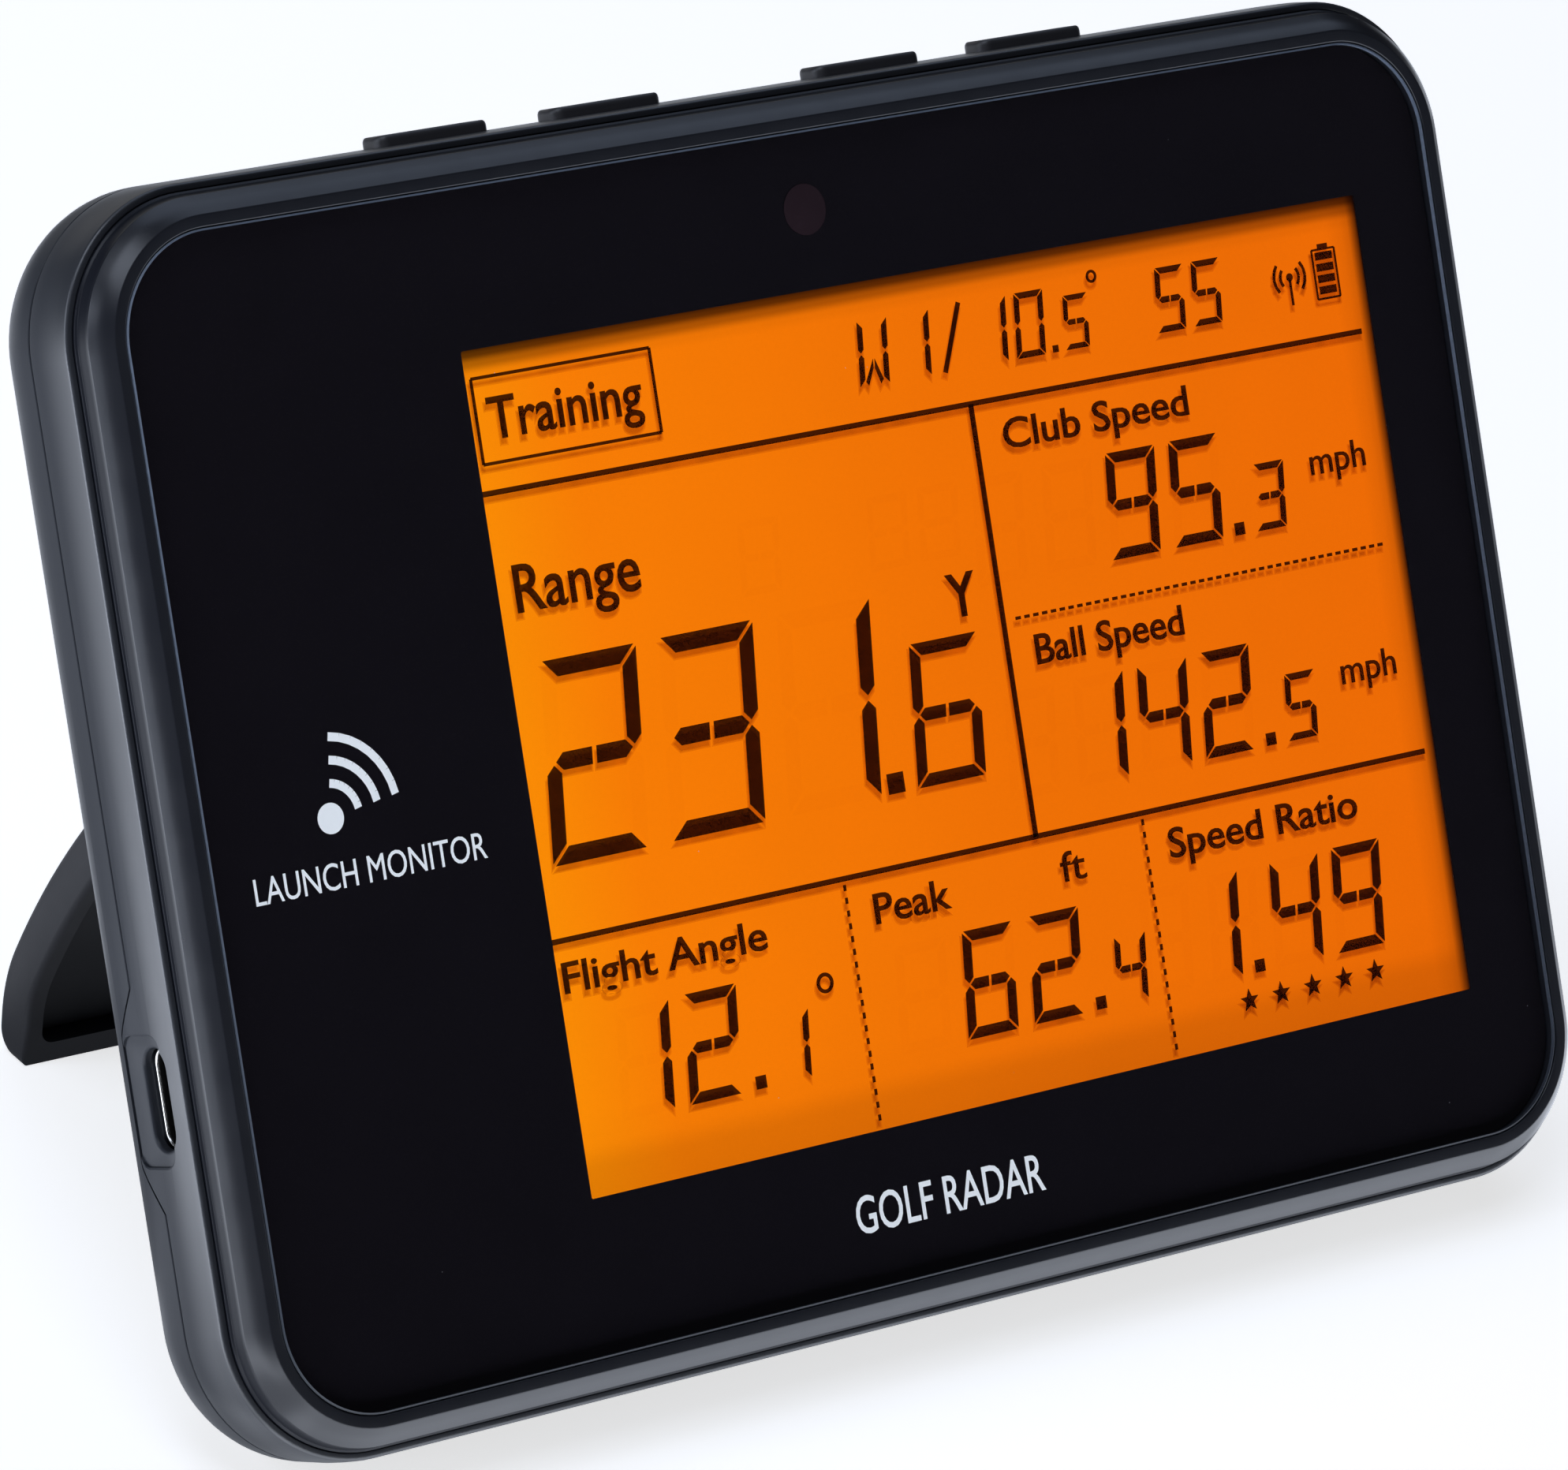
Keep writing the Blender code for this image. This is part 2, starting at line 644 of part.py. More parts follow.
def usb_shell():
    """The drawn steel shell of the receptacle, open at its mouth."""
    height, width, length = USB_SHELL
    mouth = USB_MOUTH_X
    inner_w, inner_h = width - 2 * USB_SHELL_T, height - 2 * USB_SHELL_T
    back = mouth + length
    rings = [stadium(inner_w, inner_h, back - 0.5), stadium(inner_w, inner_h, mouth)]
    rings += [stadium(width, height, mouth), stadium(width, height, back)]
    return solid("usb_shell", loft(rings))


def usb_tongue():
    """The contact tongue in the middle of the receptacle."""
    x_range = (USB_MOUTH_X + 0.9, USB_MOUTH_X + 6.7)
    d_range, z_range = around(PORT_D, USB_TONGUE[1]), around(PORT_Z, USB_TONGUE[0])
    return solid("usb_tongue", box(x_range, d_range, z_range))


# ---------------------------------------------------------------- battery and speaker


def battery_pack():
    """A wrapped pouch cell, its long edges rounded."""
    edge = 1.6
    rings = []
    for depth, inset in ((0.0, edge), (0.5, 0.4), (edge, 0.0)):
        rings.append((BATTERY_D[0] + depth, inset))
    rings += [(BATTERY_D[1] - (d - BATTERY_D[0]), inset) for d, inset in reversed(rings)]
    grown = []
    for depth, inset in rings:
        x_range = (BATTERY_X[0] + inset, BATTERY_X[1] - inset)
        z_range = (BATTERY_Z[0] + inset, BATTERY_Z[1] - inset)
        grown.append(flat_ring(x_range, z_range, 2.5 - inset, depth, 4))
    return solid("battery_pack", loft(grown))


def battery_pad():
    x_range = (BATTERY_X[0] + 4, BATTERY_X[1] - 4)
    z_range = (BATTERY_Z[0] + 3, BATTERY_Z[1] - 3)
    d_range = (BATTERY_D[1] + 0.1, BULGE_D - WALL - 0.15)
    return solid("battery_pad", slab(x_range, d_range, z_range, 1.5))


def battery_socket():
    """The wire-to-board connector, with a slot in its top for the plug."""
    socket = solid("battery_socket", box((17.0, 23.0), (BOARD_D[1] + 0.1, 13.4), (3.0, 7.4)))
    return cut(socket, solid("slot", box((17.8, 22.2), (11.4, 14.0), (3.7, 8.0))))


def battery_lead(name, shift):
    start = (BATTERY_X[1] + 0.4, 15.6, 21.0 + shift)
    control = (20.4 + shift, 13.2, 16.5)
    end = (20.0 + shift * 0.9, 12.6, 7.0)
    return solid(name, tube(bend(start, control, end), 0.45))


def speaker():
    """Basket and magnet of a round speaker facing the sound holes."""
    at = (SPEAKER_X, SPEAKER_Z)
    basket = solid("speaker", cylinder(at, SPEAKER_R, (15.6, 19.7), 32))
    join(basket, solid("magnet", cylinder(at, 7.2, (12.4, 16.0), 24)))
    return cut(basket, solid("bowl", cylinder(at, 11.4, (17.2, 22.0), 32)))


def speaker_cone():
    """A shallow domed diaphragm with a raised roll round it."""
    profile = [(11.2, 19.3), (10.3, 19.55), (9.3, 19.2), (6.5, 18.0), (4.2, 18.5), (1.4, 18.9)]
    rear = [(r, d - 0.3) for r, d in profile]
    centre = (SPEAKER_X, SPEAKER_Z)
    rings = [round_ring(centre, radius, depth, 24) for radius, depth in profile[::-1] + rear]
    return solid("speaker_cone", loft(rings))


def speaker_gasket():
    """The foam ring that seals the speaker to the back."""
    section = [(11.5, 19.85), (12.4, 19.85), (12.4, 20.45), (11.5, 20.45)]
    centre = (SPEAKER_X, SPEAKER_Z)
    rings = [round_ring(centre, radius, depth, 32) for radius, depth in section]
    return solid("speaker_gasket", loft(rings, closed=True))


# ---------------------------------------------------------------- buttons


def button_ring(x, grow, z, radius):
    """A rounded rectangle seen from above, round one button, at a height."""
    points = outline(BUTTON_SIZE[0] + 2 * grow, BUTTON_SIZE[1] + grow, radius, 4)
    return [Vector((x + a, BUTTON_D + b, z)) for a, b in points]


def button(name, x):
    """A rubber key: a flange behind the wall and a stem through it with a soft top edge."""
    flange_top = BUTTON_FLANGE_Z + BUTTON_FLANGE_T
    corner = BUTTON_CORNER_R
    rings = [
        button_ring(x, BUTTON_FLANGE, BUTTON_FLANGE_Z, corner),
        button_ring(x, BUTTON_FLANGE, flange_top, corner),
        button_ring(x, 0.0, flange_top, corner),
        button_ring(x, 0.0, BUTTON_TOP - 0.45, corner),
        button_ring(x, -0.13, BUTTON_TOP - 0.13, corner - 0.13),
        button_ring(x, -0.45, BUTTON_TOP, corner - 0.45),
    ]
    return solid(name, loft(rings))


def switch_body(name, x):
    """A side-push switch on the front of the board, with a guide slot for its plunger."""
    width, deep = SWITCH_SIZE
    front = SWITCH_D - deep / 2
    body = box(around(x, width), (front, BOARD_D[0] - 0.1), (47.0, SWITCH_TOP))
    guide_x = around(x, PLUNGER_SIZE[0] + 2 * GUIDE_GAP)
    guide_d = around(SWITCH_D, PLUNGER_SIZE[1] + 2 * GUIDE_GAP)
    guide = box(guide_x, guide_d, (48.9, SWITCH_TOP + 1))
    return cut(solid(name, body), solid("guide", guide))


def switch_plunger(name, x):
    x_range, d_range = around(x, PLUNGER_SIZE[0]), around(SWITCH_D, PLUNGER_SIZE[1])
    return solid(name, box(x_range, d_range, (49.7, BUTTON_FLANGE_Z - 0.08)))


# ---------------------------------------------------------------- kickstand


def world_height(d, z):
    """Height of a device point above the glass centre once the device leans."""
    lean = math.radians(LEAN_DEG)
    return z * math.cos(lean) - d * math.sin(lean)


def table_height():
    """Height of the table below the glass centre: the leaning body rests on its rear edge arc."""
    return world_height(REAR_ARC_D, -GLASS_H / 2 - BODY_M + REAR_ARC_R) - REAR_ARC_R


def follow_arc(point, heading, radius, turn, steps):
    """Points of a clockwise arc from a point with a heading, and the heading it ends on."""
    centre_dir = math.radians(heading - 90.0)
    cx = point[0] + radius * math.cos(centre_dir)
    cz = point[1] + radius * math.sin(centre_dir)
    points = []
    for step in range(1, steps + 1):
        out = math.radians(heading + 90.0 - turn * step / steps)
        points.append((cx + radius * math.cos(out), cz + radius * math.sin(out)))
    return points, heading - turn


def stand_curve(depth):
    """The stand's outer curve, offset inwards by depth, from the hinge to the sole corner."""
    out = math.radians(STAND_HEADING + 90.0)
    reach = BARREL_R - depth
    points = [(HINGE_D + reach * math.cos(out), HINGE_Z + reach * math.sin(out))]
    heading = STAND_HEADING
    for radius, turn in STAND_ARCS:
        added, heading = follow_arc(points[-1], heading, radius - depth, turn, 5)
        points += added
    return points, heading


def stand_side(inset):
    """The closed side view of the stand without its barrel, shrunk by inset, on a flat sole."""
    outer, heading = stand_curve(inset)
    sole_heading = LEAN_DEG - 180.0
    corner, _ = follow_arc(outer[-1], heading, SOLE_CORNER_R - inset, heading - sole_heading, 5)
    above = world_height(*corner[-1]) - table_height() - inset
    drop = above / math.sin(math.radians(LEAN_DEG - heading))
    down = (math.cos(math.radians(heading)) * drop, math.sin(math.radians(heading)) * drop)
    corner = [(d + down[0], z + down[1]) for d, z in [outer[-1]] + corner]
    along = math.radians(sole_heading)
    heel = (corner[-1][0] + SOLE_W * math.cos(along), corner[-1][1] + SOLE_W * math.sin(along))
    inner, _ = stand_curve(STAND_DEPTH - inset)
    return outer + corner + [heel] + inner[::-1]


def stand_hollow():
    """The side view of the space inside the tray-shaped stand."""
    sides = []
    for depth in (STAND_SKIN, STAND_DEPTH + 2.0):
        curve = [Vector(point) for point in stand_curve(depth)[0]]
        upper, lower = curve[1].lerp(curve[2], 0.4), curve[-4].lerp(curve[-3], 0.6)
        sides.append([upper] + curve[2:-3] + [lower])
    return sides[0] + sides[1][::-1]


def stand_shell():
    """The stand as a solid bar along x with soft long edges."""
    rings = []
    for side in (-1, 1):
        for step in range(4)[::side]:
            angle = math.radians(30 * step)
            inset = STAND_EDGE * (1 - math.cos(angle))
            x = side * (STAND_W / 2 - STAND_EDGE * (1 - math.sin(angle)))
            rings.append([Vector((x, d, z)) for d, z in stand_side(inset)])
    return solid("kickstand", loft(rings))


def kickstand():
    """A shallow tray with a hinge barrel along its top edge and slots for the two lugs."""
    half = STAND_W / 2
    stand = stand_shell()
    hollow = bar_along_x(stand_hollow(), (-half + STAND_SKIN, half - STAND_SKIN))
    barrel = bar_along_x(circle(HINGE_D, HINGE_Z, BARREL_R), (-half + 0.4, half - 0.4))
    cut(stand, solid("hollow", hollow))
    join(stand, solid("barrel", barrel))
    bore = circle(HINGE_D, HINGE_Z, PIN_R + 0.05)
    clear = circle(HINGE_D, HINGE_Z, KNUCKLE_R + 0.7)
    for side in (-1, 1):
        slot = bar_along_x(clear, (side * KNUCKLE_X[0], side * KNUCKLE_X[1]))
        hole = bar_along_x(bore, (side * (PIN_X[0] - 0.4), side * 60.0))
        cut(stand, solid("slot", slot), solid("bore", hole))
    return stand


def hinge_pin(name, side):
    x_range = (side * PIN_X[0], side * PIN_X[1])
    return solid(name, bar_along_x(circle(HINGE_D, HINGE_Z, PIN_R), x_range))


def detent_spring():
    """A thin leaf whose crest rubs on the barrel to hold the stand where it is set."""
    steps = 12
    low, high = 7.4, 15.2
    path = []
    for step in range(steps + 1):
        z = low + (high - low) * step / steps
        swell = math.cos(math.radians(90.0 * min(1.0, abs(z - HINGE_Z) / 2.0))) ** 2
        path.append((16.15 + 0.72 * swell, z))
    return solid("detent_spring", bar_along_x(strip_section(path, -0.25), (-5.0, 5.0)))


# ---------------------------------------------------------------- fasteners


def screw(name, at, head_d, tip_d, head_r=SCREW_HEAD_R):
    """A pan-head screw driven forwards, with a cross slot in its head."""
    made = solid(name, cylinder(at, head_r, (head_d - SCREW_HEAD_T, head_d), 16))
    join(made, solid("shank", cylinder(at, SCREW_R, (tip_d, head_d - SCREW_HEAD_T / 2), 12)))
    for width, height in (SCREW_SLOT, SCREW_SLOT[::-1]):
        slot = box(around(at[0], width), (head_d - SCREW_SLOT_DEEP, head_d + 1), around(at[1], height))
        cut(made, solid("slot", slot))
    return made


def corner_screws():
    return [screw(f"rear_screw_{i}", at, 14.6, 7.0) for i, at in enumerate(CORNER_POSTS, 1)]


def tray_screws():
    return [screw(f"board_screw_{i}", at, 11.4, 7.4, 1.7) for i, at in enumerate(TRAY_POSTS, 1)]


# ---------------------------------------------------------------- assembly


def stand_on_table(frame):
    """Moves the leaning device so that the table is z = 0 and its box is centred on the origin."""
    bpy.context.view_layer.update()
    depths = []
    for obj in frame.children:
        depths += [(obj.matrix_world @ vertex.co).y for vertex in obj.data.vertices]
    frame.location.y -= (min(depths) + max(depths)) / 2
    frame.location.z = -table_height() * MM


def build():
    clear_scene()
    finish = make_materials()
    frame = bpy.data.objects.new("device_frame", None)
    bpy.context.scene.collection.objects.link(frame)
    frame.rotation_euler.x = -math.radians(LEAN_DEG)

    parts = {
        "front_glass": [display_window()],
        "adhesive": [window_adhesive()],
        "bezel_plastic": [front_bezel()],
        "body_plastic": [front_housing(), rear_cover()],
        "lcd_glass": [lcd_panel()],
        "light_guide": [light_guide()],
        "white_plastic": [
            lcd_tray(),
            backlight_strip(),
            battery_socket(),
            radar_spacer("radar_spacer_left", -62.0),
            radar_spacer("radar_spacer_right", -50.5),
        ],
        "flex_film": [lcd_flex()],
        "radar_laminate": [radar_board()],
        "shield_steel": [
            radar_shield(),
            on_board("wireless_module", 46.0, -20.0, 13.0, 17.0, 2.0),
            speaker(),
            detent_spring(),
            hinge_pin("hinge_pin_left", -1),
            hinge_pin("hinge_pin_right", 1),
        ],
        "circuit_board": [main_board()],
        "chip_package": [
            radar_header(),
            on_board("processor_chip", -10.0, -14.0, 12.0, 12.0, 1.2),
            on_board("memory_chip", 6.0, -14.0, 6.0, 8.0, 0.9),
            on_board("charger_chip", -50.0, -16.0, 4.0, 4.0, 0.8),
            on_board("power_inductor", -58.0, -27.0, 5.0, 5.0, 2.4, 0.5),
            usb_tongue(),
        ],
        "port_steel": [usb_shell(), on_board("pressure_sensor", 24.0, -32.0, 2.5, 2.0, 0.8)],
        "ir_resin": [ir_receiver()],
        "battery_wrap": [battery_pack()],
        "foam": [battery_pad(), speaker_gasket()],
        "wire_red": [battery_lead("battery_lead_red", -0.9)],
        "wire_black": [battery_lead("battery_lead_black", 0.9)],
        "speaker_cone": [speaker_cone()],
        "screw_steel": corner_screws() + tray_screws(),
    }
    for material, objects in parts.items():
        for obj in objects:
            place(obj, finish[material], frame)

    for where, x in BUTTONS.items():
        place(button(f"button_{where}", x), finish["button_rubber"], frame, (x, BUTTON_D, BUTTON_TOP))
        place(switch_body(f"switch_{where}", x), finish["chip_package"], frame)
        plunger = switch_plunger(f"plunger_{where}", x)
        place(plunger, finish["white_plastic"], frame, (x, SWITCH_D, SWITCH_TOP))
    place(kickstand(), finish["stand_plastic"], frame, (0.0, HINGE_D, HINGE_Z))
    stand_on_table(frame)


build()
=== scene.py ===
"""Looks of the golf launch monitor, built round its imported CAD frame.

Shapes are made in the device's own frame, in millimetres: x to the right, d for depth behind the
front glass and z up along the glass, with the origin at the centre of the glass. The matrix
DEVICE, read from the frame's glass_face mount, carries that frame into the row frame.
"""

import json
from math import asin, atan2, cos, degrees, pi, radians, sin, sqrt, tan

import bmesh
import bpy
from mathutils import Matrix, Vector


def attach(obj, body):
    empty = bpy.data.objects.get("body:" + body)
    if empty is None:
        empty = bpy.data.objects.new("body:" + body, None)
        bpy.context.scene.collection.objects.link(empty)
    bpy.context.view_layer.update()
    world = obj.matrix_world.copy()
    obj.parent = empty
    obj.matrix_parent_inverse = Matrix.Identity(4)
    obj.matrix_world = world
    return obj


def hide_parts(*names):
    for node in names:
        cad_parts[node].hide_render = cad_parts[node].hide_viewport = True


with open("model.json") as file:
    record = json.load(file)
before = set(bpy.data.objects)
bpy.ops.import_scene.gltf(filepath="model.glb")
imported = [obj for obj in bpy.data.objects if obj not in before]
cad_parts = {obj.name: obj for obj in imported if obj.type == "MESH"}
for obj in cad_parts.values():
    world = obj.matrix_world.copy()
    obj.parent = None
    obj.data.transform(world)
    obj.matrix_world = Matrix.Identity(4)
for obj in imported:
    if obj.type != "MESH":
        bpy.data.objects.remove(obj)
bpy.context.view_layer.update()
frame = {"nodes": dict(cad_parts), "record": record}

MM = 0.001


def device_matrix():
    """The device frame in the row frame, from the mount on the glass."""
    glass = next(mount for mount in frame["record"]["mounts"] if mount["name"] == "glass_face")
    depth = -Vector(glass["axis"]).normalized()
    across = Vector((1.0, 0.0, 0.0))
    up = across.cross(depth)
    matrix = Matrix((across, depth, up)).transposed().to_4x4()
    matrix.translation = Vector(glass["pos_m"])
    return matrix


DEVICE = device_matrix()


def device_box(node):
    """Lowest and highest corner of a CAD node as (x, d, z) in device millimetres."""
    inverse = DEVICE.inverted()
    points = [inverse @ vertex.co / MM for vertex in frame["nodes"][node].data.vertices]
    low = Vector([min(point[i] for point in points) for i in range(3)])
    high = Vector([max(point[i] for point in points) for i in range(3)])
    return low, high


# ---- sizes

# All in device millimetres. A name in _X, _D or _Z is a place or a span along that axis, one in
# _R a radius, and _M the distance of an outline outside the edge of the glass.

GLASS_LOW, GLASS_HIGH = device_box("display_window")
GLASS_W = GLASS_HIGH.x - GLASS_LOW.x
GLASS_H = GLASS_HIGH.z - GLASS_LOW.z
GLASS_R = 9.3
CORNER_STEPS = 22

BODY_M = device_box("rear_cover")[1].x - GLASS_W / 2
LEDGE_D = 3.3
PARTING_D = 8.8
SEAM = 0.15
REAR_ARC_D = 10.0
REAR_ARC_R = 7.2
ARC_STEPS = 14
WALL = 2.0
CORNER_POSTS = [(-70.0, 41.0), (70.0, 41.0), (-70.0, -41.0), (70.0, -41.0)]
POST_R = 2.6
FRONT_POST_D = (6.0, 8.85)
REAR_POST_D = (10.4, 15.6)
PILOT_R = 1.05
CLEARANCE_R = 1.15
SINK_R = 2.15

INK_D = (1.31, 1.48)
PRINT_D = (1.27, 1.30)
MARK_D = (2.44, 2.50)
GHOST_D = (2.52, 2.56)
SHADOW_D = (2.60, 2.64)
SHADOW_STEP = 0.06
SHADOW_GROWTH = (-0.05, 0.05, 0.16)
SHADOW_SHIFT = (-0.22, -0.50)
LIGHT_D = (2.90, 4.50)
SENSOR_D = (1.24, 1.26)
APERTURE_X = (-37.75, 63.8)
APERTURE_Z = (-37.6, 37.1)
LIT_X = (-40.0, 64.95)
LIT_Z = (-38.3, 37.9)

PORT_Z = -21.5
PORT_D = 7.35
PORT_SLOT = (8.9, 3.6)
PORT_LIP = 0.35
PORT_PAD_Z = (-27.2, -16.0)
PORT_PAD_D = (6.0, 11.5)
PORT_TAB_TOE = 4.0
PORT_PAD_X = -76.10
# the pad's sloping edge in steps: how much larger than the pad, and how far out from it
PORT_PAD_EDGE = [(3.0, 3.6), (0.46, 0.38), (0.28, 0.34), (0.12, 0.24), (0.06, 0.0)]
PORT_POCKET = ((-75.3, -66.0), (5.5, 9.1), (PORT_Z - 4.7, PORT_Z + 4.7))
PORT_LIP_GAP = ((-74.3, -72.9), (7.0, 9.8), (PORT_PAD_Z[0] - 5.6, PORT_PAD_Z[1] + 5.6))
USB_SHELL = (8.94, 3.2, 7.3)
USB_SHELL_T = 0.35
USB_MOUTH_X = -75.1
CONTACT_W = 0.36
CONTACT_PITCH = 1.0

BUTTONS = ("far_left", "left", "right", "far_right")
BUTTON_SIZE = (12.0, 3.4)
BUTTON_D = 8.2
BUTTON_TOP = device_box("button_left")[1].z
BUTTON_FLANGE_Z = 52.2
BUTTON_FLANGE_T = 0.75
BUTTON_FLANGE = 0.8
BUTTON_POCKET_Z = (49.5, BUTTON_FLANGE_Z + BUTTON_FLANGE_T + 0.3)

STAND_LOW, STAND_HIGH = device_box("kickstand")
STAND_W = STAND_HIGH.x - STAND_LOW.x
HINGE_D = 20.2
HINGE_Z = 13.2
BARREL_R = 2.8
STAND_HEADING = -26.0
# the stand's outer curve from its hinge down, as radii and turns in degrees
STAND_ARCS = [(516.0, 4.0), (89.0, 12.0), (16.0, 28.0)]
STAND_DEPTH = 4.5
STAND_SKIN = 1.8
STAND_EDGE = 0.6
STAND_FILLET = 1.5
STAND_RIM = 2.0
STAND_CORNER_R = 0.7
STAND_STEPS = 9
SOLE_CORNER_R = 2.2
SOLE_W = 2.0
KNUCKLE_X = (38.0, 44.0)
KNUCKLE_R = 2.7
KNUCKLE_FOOT_D = 16.2
PIN_R = 1.0
RUNNING = 0.09

BULGE_Z = (16.1, 46.5)
BULGE_D = 22.6
BULGE_R = 8.0
BULGE_EDGE = 2.2
SPRING_POCKET = ((-6.5, 6.5), (16.0, 18.0), (7.0, 15.6))
SPEAKER_X = 33.0
SPEAKER_Z = 31.3
# rings of sound holes: radius, number and where the first one is, in degrees
GRILLE = [(0.0, 1, 0.0), (4.2, 6, 0.0), (8.4, 12, 15.0)]
GRILLE_HOLE_R = 0.85
NOTCH_D = 13.5
NOTCH_Z = -44.0
NOTCH_GAP = 0.8
NOTCH_WALL = 1.8
NOTCH_LINING_D = (11.7, 15.6)
NOTCH_LINING_Z = (-54.5, -41.6)

# the photograph's camera, in row metres and degrees
CAMERA_AT = Vector((-0.52008, -0.60000, 0.45190))
CAMERA_TURN = (62.457, -8.806, -36.471)
CAMERA_LENS = 226.73
SENSOR_WIDTH = 36.0


# ---- shape helpers

# edges that turn more than this stay sharp
SHARP_DEG = 32.0


def outline(width, height, radius, steps=CORNER_STEPS):
    """A rounded rectangle as (x, z) points, anticlockwise from its right side."""
    points = []
    for quarter in range(4):
        turn = radians(90 * quarter)
        cx = (width / 2 - radius) * (1 if quarter in (0, 3) else -1)
        cz = (height / 2 - radius) * (1 if quarter in (0, 1) else -1)
        for step in range(steps + 1):
            angle = turn + radians(90.0 * step / steps)
            points.append((cx + radius * cos(angle), cz + radius * sin(angle)))
    return points


def laid(points, depth):
    """Flat (x, z) points as a row of vectors at a depth."""
    return [Vector((x, depth, z)) for x, z in points]


def ring(margin, depth):
    """The glass outline grown by margin, at a depth."""
    return laid(outline(GLASS_W + 2 * margin, GLASS_H + 2 * margin, GLASS_R + margin), depth)


def flat_ring(x_range, z_range, radius, depth, steps):
    """A rounded rectangle parallel to the glass, given by its x and z limits."""
    cx, cz = sum(x_range) / 2, sum(z_range) / 2
    points = outline(x_range[1] - x_range[0], z_range[1] - z_range[0], radius, steps)
    return [Vector((cx + x, depth, cz + z)) for x, z in points]


def around(centre, size):
    """The two limits of a span of a size round its centre."""
    return (centre - size / 2, centre + size / 2)


def soften(corners, steps=4):
    """A closed section from (u, v, radius) corners, each rounded by a tangent arc."""
    points = []
    for i, (u, v, radius) in enumerate(corners):
        here = Vector((u, v))
        if not radius:
            points.append(here)
            continue
        before = (Vector(corners[i - 1][:2]) - here).normalized()
        after = (Vector(corners[(i + 1) % len(corners)][:2]) - here).normalized()
        half = before.angle(after) / 2
        centre = here + (before + after).normalized() * radius / sin(half)
        start = here + before * radius / tan(half) - centre
        end = here + after * radius / tan(half) - centre
        sweep = atan2(start.x * end.y - start.y * end.x, start.dot(end))
        for step in range(steps + 1):
            points.append(centre + Matrix.Rotation(sweep * step / steps, 2) @ start)
    return points


def skin(bm, rings, closed=False):
    """Adds to bm the surface through rings of equal length, with end caps unless it is closed."""
    rows = [[bm.verts.new(point) for point in points] for points in rings]
    pairs = list(zip(rows, rows[1:]))
    if closed:
        pairs.append((rows[-1], rows[0]))
    for lower, upper in pairs:
        for i in range(len(lower)):
            j = (i + 1) % len(lower)
            bm.faces.new((lower[i], lower[j], upper[j], upper[i]))
    if not closed:
        bm.faces.new(rows[0])
        bm.faces.new(rows[-1])


def loft(rings, closed=False):
    """A bmesh with only the surface through the rings."""
    bm = bmesh.new()
    skin(bm, rings, closed)
    return bm


def rectangle(x_range, z_range):
    """The corners of a rectangle, anticlockwise from its lower left."""
    left, right = x_range
    low, high = z_range
    return [(left, low), (right, low), (right, high), (left, high)]


def box(x_range, d_range, z_range):
    """A cutter or filler between the limits on each axis."""
    return loft([laid(rectangle(x_range, z_range), d) for d in d_range])


def arc(centre, radius, angles):
    """Points round a centre, at angles in radians."""
    return [(centre[0] + radius * cos(a), centre[1] + radius * sin(a)) for a in angles]


def circle(u, v, radius, steps=32):
    """The points of a circle."""
    return arc((u, v), radius, [2 * pi * i / steps for i in range(steps)])


def cylinder(centre, radius, d_range, steps=28):
    """A round bar along the depth."""
    return loft([laid(circle(*centre, radius, steps), d) for d in d_range])


def bar_along_x(section, x_range):
    """Extrudes a closed (d, z) section along x."""
    return loft([[Vector((x, d, z)) for d, z in section] for x in x_range])


def arc_rings(margin, radius, start_deg, end_deg):
    """Rings round the rear corner arc, whose centre line is margin outside the glass."""
    rings = []
    for step in range(ARC_STEPS + 1):
        angle = radians(start_deg + (end_deg - start_deg) * step / ARC_STEPS)
        rings.append(ring(margin + radius * cos(angle), REAR_ARC_D + radius * sin(angle)))
    return rings


def linked(name, data):
    """A new object in the scene."""
    obj = bpy.data.objects.new(name, data)
    bpy.context.scene.collection.objects.link(obj)
    return obj


def solid(name, bm):
    """An object from a closed bmesh in device millimetres, its faces turned outwards."""
    bmesh.ops.recalc_face_normals(bm, faces=bm.faces)
    mesh = bpy.data.meshes.new(name)
    bm.to_mesh(mesh)
    bm.free()
    return linked(name, mesh)


def gathered(tools):
    """One object that holds every tool's mesh; the tools must not touch each other."""
    bm = bmesh.new()
    for tool in tools:
        bm.from_mesh(tool.data)
        bpy.data.objects.remove(tool, do_unlink=True)
    return solid("tool", bm)


def combine(base, tools, operation):
    """Booleans tools that don't touch each other into base, and removes them."""
    tool = gathered(tools)
    modifier = base.modifiers.new(operation, "BOOLEAN")
    modifier.operation = operation
    modifier.solver = "EXACT"
    modifier.object = tool
    graph = bpy.context.evaluated_depsgraph_get()
    base_mesh = base.data
    base.data = bpy.data.meshes.new_from_object(base.evaluated_get(graph))
    base.modifiers.clear()
    bpy.data.objects.remove(tool, do_unlink=True)
    bpy.data.meshes.remove(base_mesh)
    return base


def join(base, *tools):
    """Adds tools to base."""
    return combine(base, tools, "UNION")


def cut(base, *tools):
    """Takes tools out of base."""
    return combine(base, tools, "DIFFERENCE")


def show(obj, body, material, stands_for=()):
    """Puts a finished shape in its place on a CAD body, in its material."""
    obj.data.transform(DEVICE @ Matrix.Scale(MM, 4))
    obj.data.materials.clear()
    obj.data.materials.append(material)
    obj.data.shade_smooth()
    obj.data.set_sharp_from_angle(angle=radians(SHARP_DEG))
    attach(obj, body)
    if stands_for:
        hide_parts(*stands_for)


# ---- material helpers

# painted light on the printed ink: a glow that stands in for the lamps in front of the glass
PRINT_PAINTED_LIGHT = 0.60
# the pane's ground edge from its foot to its top: its own pale grey, lighter upwards as a painted
# highlight
EDGE_TONE_AND_HIGHLIGHT = [
    (0.0, (0.026, 0.031, 0.040)),
    (0.12, (0.07, 0.084, 0.11)),
    (1.0, (0.17, 0.21, 0.28)),
]
